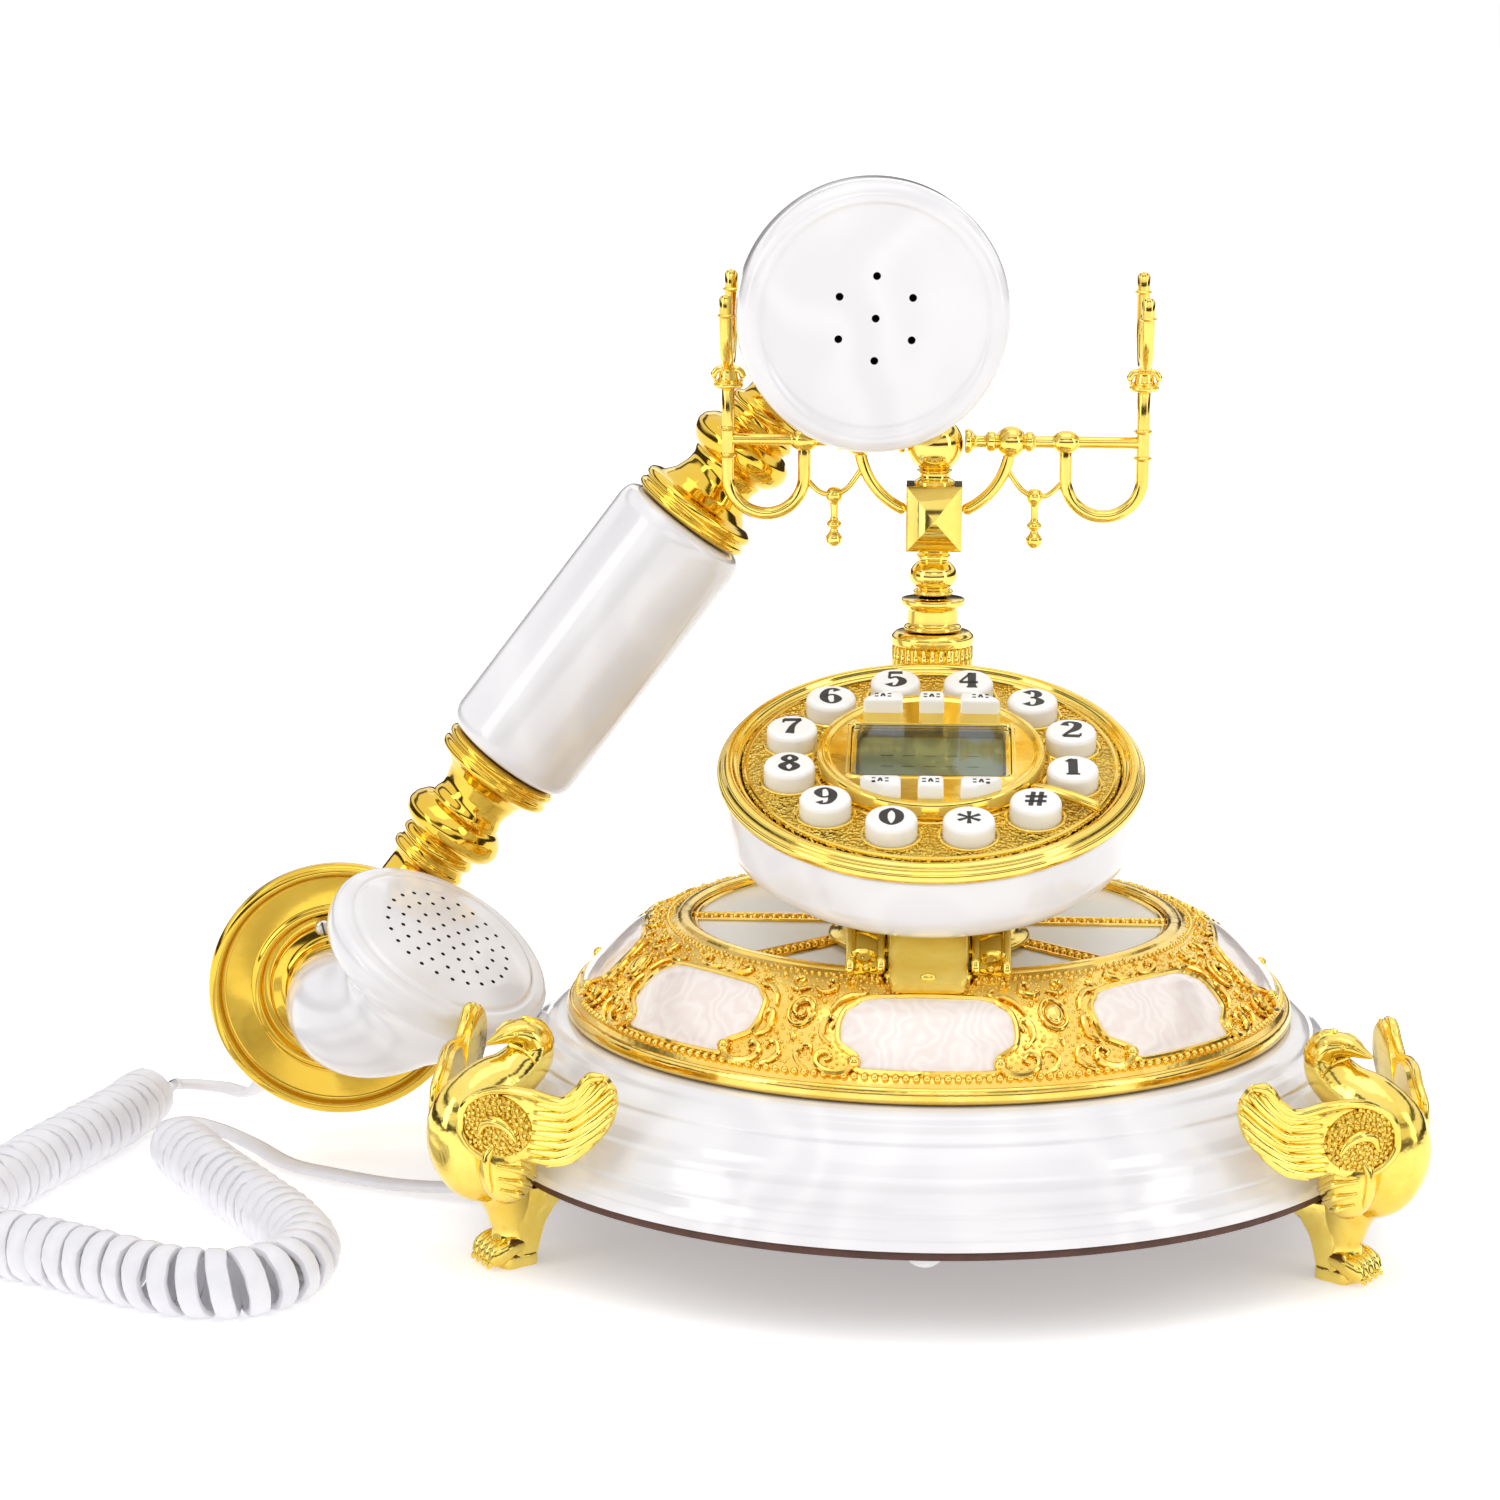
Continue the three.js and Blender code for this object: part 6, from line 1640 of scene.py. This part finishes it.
# ---------------------------------------------------------------- cradle
@dataclass
class Cradle:
    """The column behind the dial and the sprung fork that rises from it."""

    collar_top: float = 118.5
    bar: float = 159.8
    span: float = 44.6
    loop_inner: float = 28.1
    arc: float = 16.3
    stem: float = 170.6
    opening: float = 11.0
    prong: float = 1.4

    def build(self) -> None:
        """Makes the column, the post, the arms and the forks."""
        self.column()
        self.post()
        for side, word in ((Side.LEFT, "left"), (Side.RIGHT, "right")):
            self.arm(side.value, word)
            self.fork(side.value, word)

    def column(self) -> None:
        """Makes the fixed column with its fluted collar, and the sleeve on it."""
        top = self.collar_top
        turning("column", CRADLE, [(3.4, 62.3), (8.8, 62.3), (8.8, 64.7), (6.6, 65.6), (5.8, 67.4),
            (5.8, 104), (6.4, 106.4), (8.9, 107.6), (8.9, 109.0), (8.2, 109.4), (8.2, top - 3.2),
            (8.9, top - 2.8), (9, top - 1), (8, top), (3.4, top)], 0.4, 72, Body.BASE, GILT, "cradle_pillar")
        flat = bpy.data.meshes.new("flute_spots")
        spots = [CRADLE @ p * MM for p in around(8.15, 28, top - 6.2)]
        flat.from_pydata(spots, [], [])
        flutes = tree_named("pegs").run("flutes", flat, Radius=0.62 * MM, Length=6 * MM,
            Metal=GILT.material())
        joined("collar_flutes", [flutes], Body.BASE, [GILT])
        z = top + 0.3
        turning("sleeve", CRADLE, [(3.1, z), (6.3, z), (6.3, z + 0.8), (5.5, z + 1.3), (5.5, z + 4.6),
            (6.0, z + 5.0), (6.9, z + 5.7), (6.9, z + 6.9), (3.1, z + 6.9)], 0.35, 64, Body.BASE, GILT,
            "cradle_sleeve")

    def post(self) -> None:
        """Makes the turned post with its studded block and its top ball."""
        post = Casting(CRADLE)
        foot, block, top = 125.7, 136.5, 150.6
        post.turned(eased([(0, 55.9), (2.6, 55.9), (2.6, foot + 0.6), (4.3, foot + 0.9), (4.4, foot + 1.7),
            (3.2, foot + 2.2), (4.4, foot + 2.9), (5.1, foot + 4.2), (5.2, foot + 5.1), (4.9, foot + 6.4),
            (3.9, foot + 7.6), (3.0, foot + 8.2), (3.6, foot + 8.7), (3.6, foot + 9.6), (3.0, foot + 10),
            (3.0, block + 1), (0, block + 1)], 0.5), 48)
        middle = (block + top) / 2
        half = (top - block) / 2

        def level(w: float, y: float, h: float) -> list[Vector]:
            """Returns one upright rectangle of the studded block."""
            return [Vector((x * w, y, middle + z * h)) for x, z in ((-1, -1), (1, -1), (1, 1), (-1, 1))]

        post.grid([level(0.05, -9.7, 0.05), level(5.4, -6.1, half - 0.6), level(6, -5.4, half),
            level(6, 5.2, half), level(5.4, 5.8, half - 0.6), level(0.05, 9.2, 0.05)], caps=True)
        post.turned(eased([(0, top - 1), (4.4, top - 0.2), (4.4, top + 0.7), (3.3, top + 1.2),
            (3.2, top + 2.4), (4.0, top + 3.0), (0, top + 3.6)], 0.3), 40)
        post.ball((0, 0, self.bar - 0.7), 6.1, 40)
        post.make("cradle_stem", Body.CRADLE, [GILT], ["cradle_post"])

    def arm(self, hand: int, word: str) -> None:
        """Makes one arm: the turned crossbar, the half arc, the hanging loop and the drop ornament."""
        arm = Casting(CRADLE)
        way = Matrix.Translation((0, 0, self.bar)) @ Matrix.Rotation(radians(90 * hand), 4, "Y")
        arm.turned(eased([(0, 6.4), (2.7, 6.4), (2.7, 7.6), (1.8, 8.3), (1.3, 8.9), (1.3, 10.9), (2.2, 11.3),
            (2.2, 12.7), (1.5, 13.2), (2.5, 14.0), (3.3, 15.3), (3.4, 16.4), (3.2, 17.6), (2.4, 18.8),
            (1.5, 19.3), (2.2, 19.7), (2.2, 20.9), (1.3, 21.4), (1.3, 25.4), (2.0, 26.1), (2.5, 27.2),
            (2.5, 29.0), (2.0, 30.1), (1.3, 30.8), (1.3, 43.8), (0, 44.2)], 0.5), 32, through=way)
        start = asin(6.9 / self.arc)
        arc = [Vector((hand * self.arc * sin(a), 0, self.bar - self.arc * cos(a)))
            for a in (start + (pi / 2 - start) * k / 24 for k in range(25))]
        arm.tube(arc, 1.3, 16)
        radius = (self.span - self.loop_inner) / 2
        low, middle = self.bar - 7.8, (self.span + self.loop_inner) / 2
        loop = [Vector((hand * self.loop_inner, 0, z)) for z in (self.bar, self.bar - 4)]
        loop += [Vector((hand * (middle - radius * cos(a)), 0, low - radius * sin(a)))
            for a in (pi * k / 24 for k in range(25))]
        loop += [Vector((hand * self.span, 0, z)) for z in (self.bar - 4, self.bar, self.bar + 5, self.stem)]
        arm.tube(loop, 1.4, 16)
        for z in (self.bar - 3.4, self.bar + 2.4):
            arm.ball((hand * self.span, 0, z), (2.0, 2.0, 0.8), 20)
        x, top = hand * 21.6, self.bar - 12
        knob = Vector((x, 0, top))
        for end in (Vector((hand * 15.6, 0, self.bar - 6)), Vector((hand * self.loop_inner, 0,
                self.bar - 8))):
            bow = (end + knob) / 2 + Vector((0, 0, -1.2))
            arm.tube(catmull([end, bow, knob], 6), 0.62, 10)
        drop = eased([(0, 2.0), (1.2, 1.7), (1.9, 0.4), (1.7, -0.8), (0.9, -1.6), (0.8, -3.4), (0.8, -5.2),
            (1.6, -5.8), (1.6, -6.6), (0.8, -7.1), (0.9, -7.8), (1.8, -8.8), (1.7, -10.2), (0.8, -11),
            (0, -11)], 0.5)
        arm.turned(drop, 28, through=Matrix.Translation(knob))
        arm.make(f"cradle_{word}_arm", Body.CRADLE, [GILT], [f"cradle_arm_{word}"])

    def fork(self, hand: int, word: str) -> None:
        """Makes one U-shaped fork, seen edge-on, on its turned eye."""
        fork = Casting(CRADLE @ Matrix.Translation((hand * self.span, 0, self.stem)))
        fork.turned(eased([(0, 0.3), (3.0, 0.3), (3.3, 1.2), (2.2, 2.0), (2.0, 3.2), (1.5, 5.2), (0, 5.4)],
            0.4), 32)
        for side in (-1, 1):
            curl = [Vector((side * (1.6 + 1.5 * cos(a)), -0.4, 2.9 + 1.5 * sin(a)))
                for a in (pi * k / 10 for k in range(19))]
            fork.tube(curl, [0.75] * 16 + [0.65, 0.6, 0.5], 10)
        low, rise = 5.0, self.opening
        line = [Vector((0, -rise, low + rise + z)) for z in (4.2, 2.1)]
        line += [Vector((0, rise * sin(a), low + rise * (1 - cos(a))))
            for a in (pi * (k / 28 - 0.5) for k in range(29))]
        line += [Vector((0, rise, low + rise + z)) for z in (2.8, 5.6, 8.0)]
        fork.tube(line, self.prong, 16)
        for y, z in ((-rise, low + rise + 0.6), (rise, low + rise + 4.6)):
            fork.ball((0, y, z), (1.85, 1.85, 0.7), 20)
        fork.make(f"cradle_{word}_fork", Body.CRADLE, [GILT], [f"cradle_fork_{word}"])


# ---------------------------------------------------------------- handset
@dataclass
class Handset:
    """The handset: a pearl grip between turned necks, an ear cap and a horn over a gilt dish."""

    neck_length: float = 62.1
    grip_radius: float = 15.7
    horn_face: tuple[float, float, float] = (7.4, -41, 29.9)
    horn_aim: tuple[float, float, float] = (-0.14, -0.289, 0.947)
    horn_radius: float = 25.4
    cap_depth: float = 7.6

    def build(self) -> None:
        """Makes all of the handset's pieces."""
        half = HALF - self.neck_length
        r = self.grip_radius
        turning("pearl_grip", HANDSET, [(3.5, -half), (r - 3, -half), (r - 0.8, -half + 0.9),
            (r, -half + 3.2), (r, half - 3.2), (r - 0.8, half - 0.9), (r - 3, half), (3.5, half)], 1.4, 96,
            Body.HANDSET, PEARL, "grip", 5)
        for hand, word in ((1, "upper"), (-1, "lower")):
            neck = Casting(HANDSET)
            outline = [(0, 0.3), (12.6, 0.3), (13.8, 1.0), (13.9, 2.0), (13.2, 2.5), (13.2, 3.3), (13.8, 3.8),
                (13.7, 5.0), (12.4, 5.7), (11.0, 6.0), (9.2, 8.2), (8.2, 11), (8.0, 13), (8.6, 14.6),
                (8.6, 15.4), (10.0, 16.2), (11.4, 18), (11.9, 19.8), (11.4, 21.6), (9.6, 23.2), (8.0, 23.8),
                (8.9, 24.8), (9.1, 25.8), (8.3, 26.6), (8.3, 28.0), (9.0, 28.6), (9.0, 29.8), (7.6, 30.6),
                (7.2, 32), (7.2, 62.1), (6.6, 65.2), (5.0, 67.8), (2.6, 69.2), (0, 69.5)]
            neck.turned([(r, hand * (half + z)) for r, z in eased(outline, 0.55, 4)], 72)
            neck.make(f"{word}_neck", Body.HANDSET, [DEEP_GILT], [f"neck_{word}"])
        self.ear()
        self.mouth()
        ribs = [(0, 0)] + [(3.4 - 0.08 * k - (0.35 if k % 2 else 0), -k) for k in range(7)] + [(2.8, -7),
            (0, -7)]
        turning("cord_sleeve", HANDSET @ Matrix.Translation((0, 0, RELIEF_TOP)), ribs, 0.25, 32, Body.HANDSET,
            CORD_PLASTIC, "cord_relief")

    def ear(self) -> None:
        """Makes the gilt disc, the stepped cup and the pierced cap of the ear end."""
        at = HANDSET @ Matrix.Translation((0, 0, HALF)) @ FORWARD
        turning("ear_disc", at, [(0, 7.6), (23.4, 7.6), (24.8, 8.2), (25.3, 9.4), (25.3, 10.8), (24.6, 12.0),
            (23.0, 12.3), (0, 12.3)], 0.5, 96, Body.HANDSET, DEEP_GILT, "ear_back_disc")
        turning("ear_shell", at, [(0, 12.6), (20.4, 12.6), (21.6, 13.6), (21.8, 19.4), (23.4, 21.8),
            (26.2, 23.4), (26.2, 23.9), (24, 23.9), (19.4, 19.6), (19.4, 14.8), (0, 14.8)], 0.8, 96,
            Body.HANDSET, PEARL, "ear_cup")
        cap = Casting(at)
        cap.turned(eased([(0, 36.0), (22.6, 36.0), (23.8, 36.2), (24.6, 36.8), (25.8, 37.0), (27.4, 36.4),
            (28.5, 35.0), (28.9, 33.0), (28.9, 26.4), (28.4, 25.0), (27.4, 24.2), (25.6, 24.2), (25.6, 33.0),
            (0, 33.0)], 0.7, 4), 120)
        piece = cap.make("ear_piece", Body.HANDSET, [PEARL, HOLE_SHADE], ["ear_cap"])
        spots = [(0.0, 0.0)] + [(8.9 * sin(a), 8.9 * cos(a)) for a in (pi * k / 3 - radians(36)
            for k in range(6))]
        drilled(piece, at @ Matrix.Translation((0, 0, 36.0)), spots, 0.85, 2.0, HOLE_SHADE)

    def mouth(self) -> None:
        """Makes the gilt dish, the horn and the pierced cap of the mouth end."""
        at = HANDSET @ Matrix.Translation((0, 0, -HALF))
        turning("mouth_dish", at @ FORWARD, [(0, 7.6), (25.4, 7.6), (28.0, 9.0), (28.9, 11.0), (28.9, 12.6),
            (28.4, 13.6), (27.2, 14.0), (26.4, 13.5), (26.1, 12.3), (25.4, 11.9), (19.4, 11.7), (18.6, 12.3),
            (17.6, 12.3), (17.0, 11.2), (15.4, 11.2), (14.9, 12.6), (12.8, 13.0), (11.8, 13.6), (11.4, 15.2),
            (0, 15.4)], 0.35, 128, Body.HANDSET, DEEP_GILT, "mouth_back_disc")
        screw = Casting(at @ FORWARD @ Matrix.Rotation(radians(140), 4,
            "Z") @ Matrix.Translation((14.6, 0, 11.4)))
        screw.turned(eased([(0, 0), (2.0, 0), (2.0, 1.3), (1.2, 2.0), (0, 2.1)], 0.4), 28)
        screw.slab([(-1.5, -0.22), (1.5, -0.22), (1.5, 0.22), (-1.5, 0.22)], 1.8, 2.15, 0.05, tone=1)
        screw.make("dish_screw", Body.HANDSET, [STEEL, DARK])
        face, aim = Vector(self.horn_face), Vector(self.horn_aim).normalized()
        back = face - aim * (self.cap_depth + 0.3)
        knots = [Vector((0, -15.7, 0)), Vector((0, -33, 0)), back - aim * 17, back]
        self.horn(at, knots)
        turn = Vector((0, 0, 1)).rotation_difference(aim).to_matrix().to_4x4()
        front = at @ Matrix.Translation(face) @ turn
        cap, r = Casting(front), self.horn_radius
        cap.turned(eased([(0, 1.4), (8, 1.3), (15.6, 0.8), (20.4, 0.1), (21.2, -0.5), (22.2, -0.4),
            (24.2, -0.9), (25.2, -1.8), (r, -3.2), (r - 0.1, -5.4), (r - 0.7, -7.2), (r - 1.2, -7.6),
            (r - 3.4, -7.6), (r - 3.4, -3.4), (15, -1.6), (0, -1.4)], 0.5), 120)
        piece = cap.make("mouth_piece", Body.HANDSET, [PEARL, HOLE_SHADE], ["mouth_cap"])
        spots = [(0.0, 0.0)]
        for ring, count in ((3.6, 6), (7.2, 12), (10.8, 18), (14.2, 24)):
            spots += [(p.x, p.y) for p in around(ring, count)]
        drilled(piece, front @ Matrix.Translation((0, 0, 0.9)), spots, 0.5, 2.0, HOLE_SHADE)

    def horn(self, at: Matrix, knots: Sequence[Vector]) -> None:
        """Casts the bell-mouthed horn along its bent middle line, with a hollow mouth."""
        def middle(t: float) -> Vector:
            """Returns the point of the middle line at a share of it."""
            a, b, c, d = knots
            return (1 - t) ** 3 * a + 3 * t * (1 - t) ** 2 * b + 3 * t * t * (1 - t) * c + t ** 3 * d

        def flare(t: float) -> float:
            """Returns the horn's radius at a share of its middle line."""
            return 10.6 + 3 * sin(pi * min(t * 1.4, 1)) + (self.horn_radius - 12.4) * t ** 3

        horn, rows, steps = Casting(at), [], 28
        walk = [(k / steps, 0.0) for k in range(steps + 1)] + [(k / steps, 2.2) for k in range(steps, 13, -1)]
        for t, inset in walk:
            along = (middle(min(t + 0.01, 1)) - middle(max(t - 0.01, 0))).normalized()
            up = Vector((1, 0, 0)).cross(along).normalized()
            across = along.cross(up).normalized()
            r = flare(t) - inset
            rows.append([middle(t) + across * (r * cos(a)) + up * (r * sin(a))
                for a in (2 * pi * k / 72 for k in range(72))])
        horn.grid(rows, caps=True)
        horn.make("horn", Body.HANDSET, [PEARL], ["mouth_horn"])


# ---------------------------------------------------------------- the frame's own pieces
KEPT_NODES: dict[str, Finish] = {
    "line_jack": DARK, "main_board": BOARD, "hook_switch": DARK, "keypad_board": BOARD, "display_lens": GLASS,
    "grip_tie_rod": STEEL, "receiver_capsule": DARK, "mic_capsule": DARK,
}


def dress_kept_nodes() -> None:
    """Gives the frame's own pieces their finishes."""
    for name, finish in KEPT_NODES.items():
        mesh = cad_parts[name].data
        mesh.materials.clear()
        mesh.materials.append(finish.material())


def main() -> None:
    """Builds the whole phone."""
    logging.basicConfig(level=logging.INFO, format="%(message)s")
    Studio().build()
    CurlyCord().build()
    PearlBase().build()
    GiltRing().build()
    TopDisc().build()
    Pedestal().build()
    for name, angle in (("left", 210), ("right", 330), ("rear", 90)):
        SwanFoot(angle).build(f"{name}_swan", f"swan_foot_{name}")
    Dial().build()
    Cradle().build()
    Handset().build()
    dress_kept_nodes()


if __name__ == "__main__":
    main()
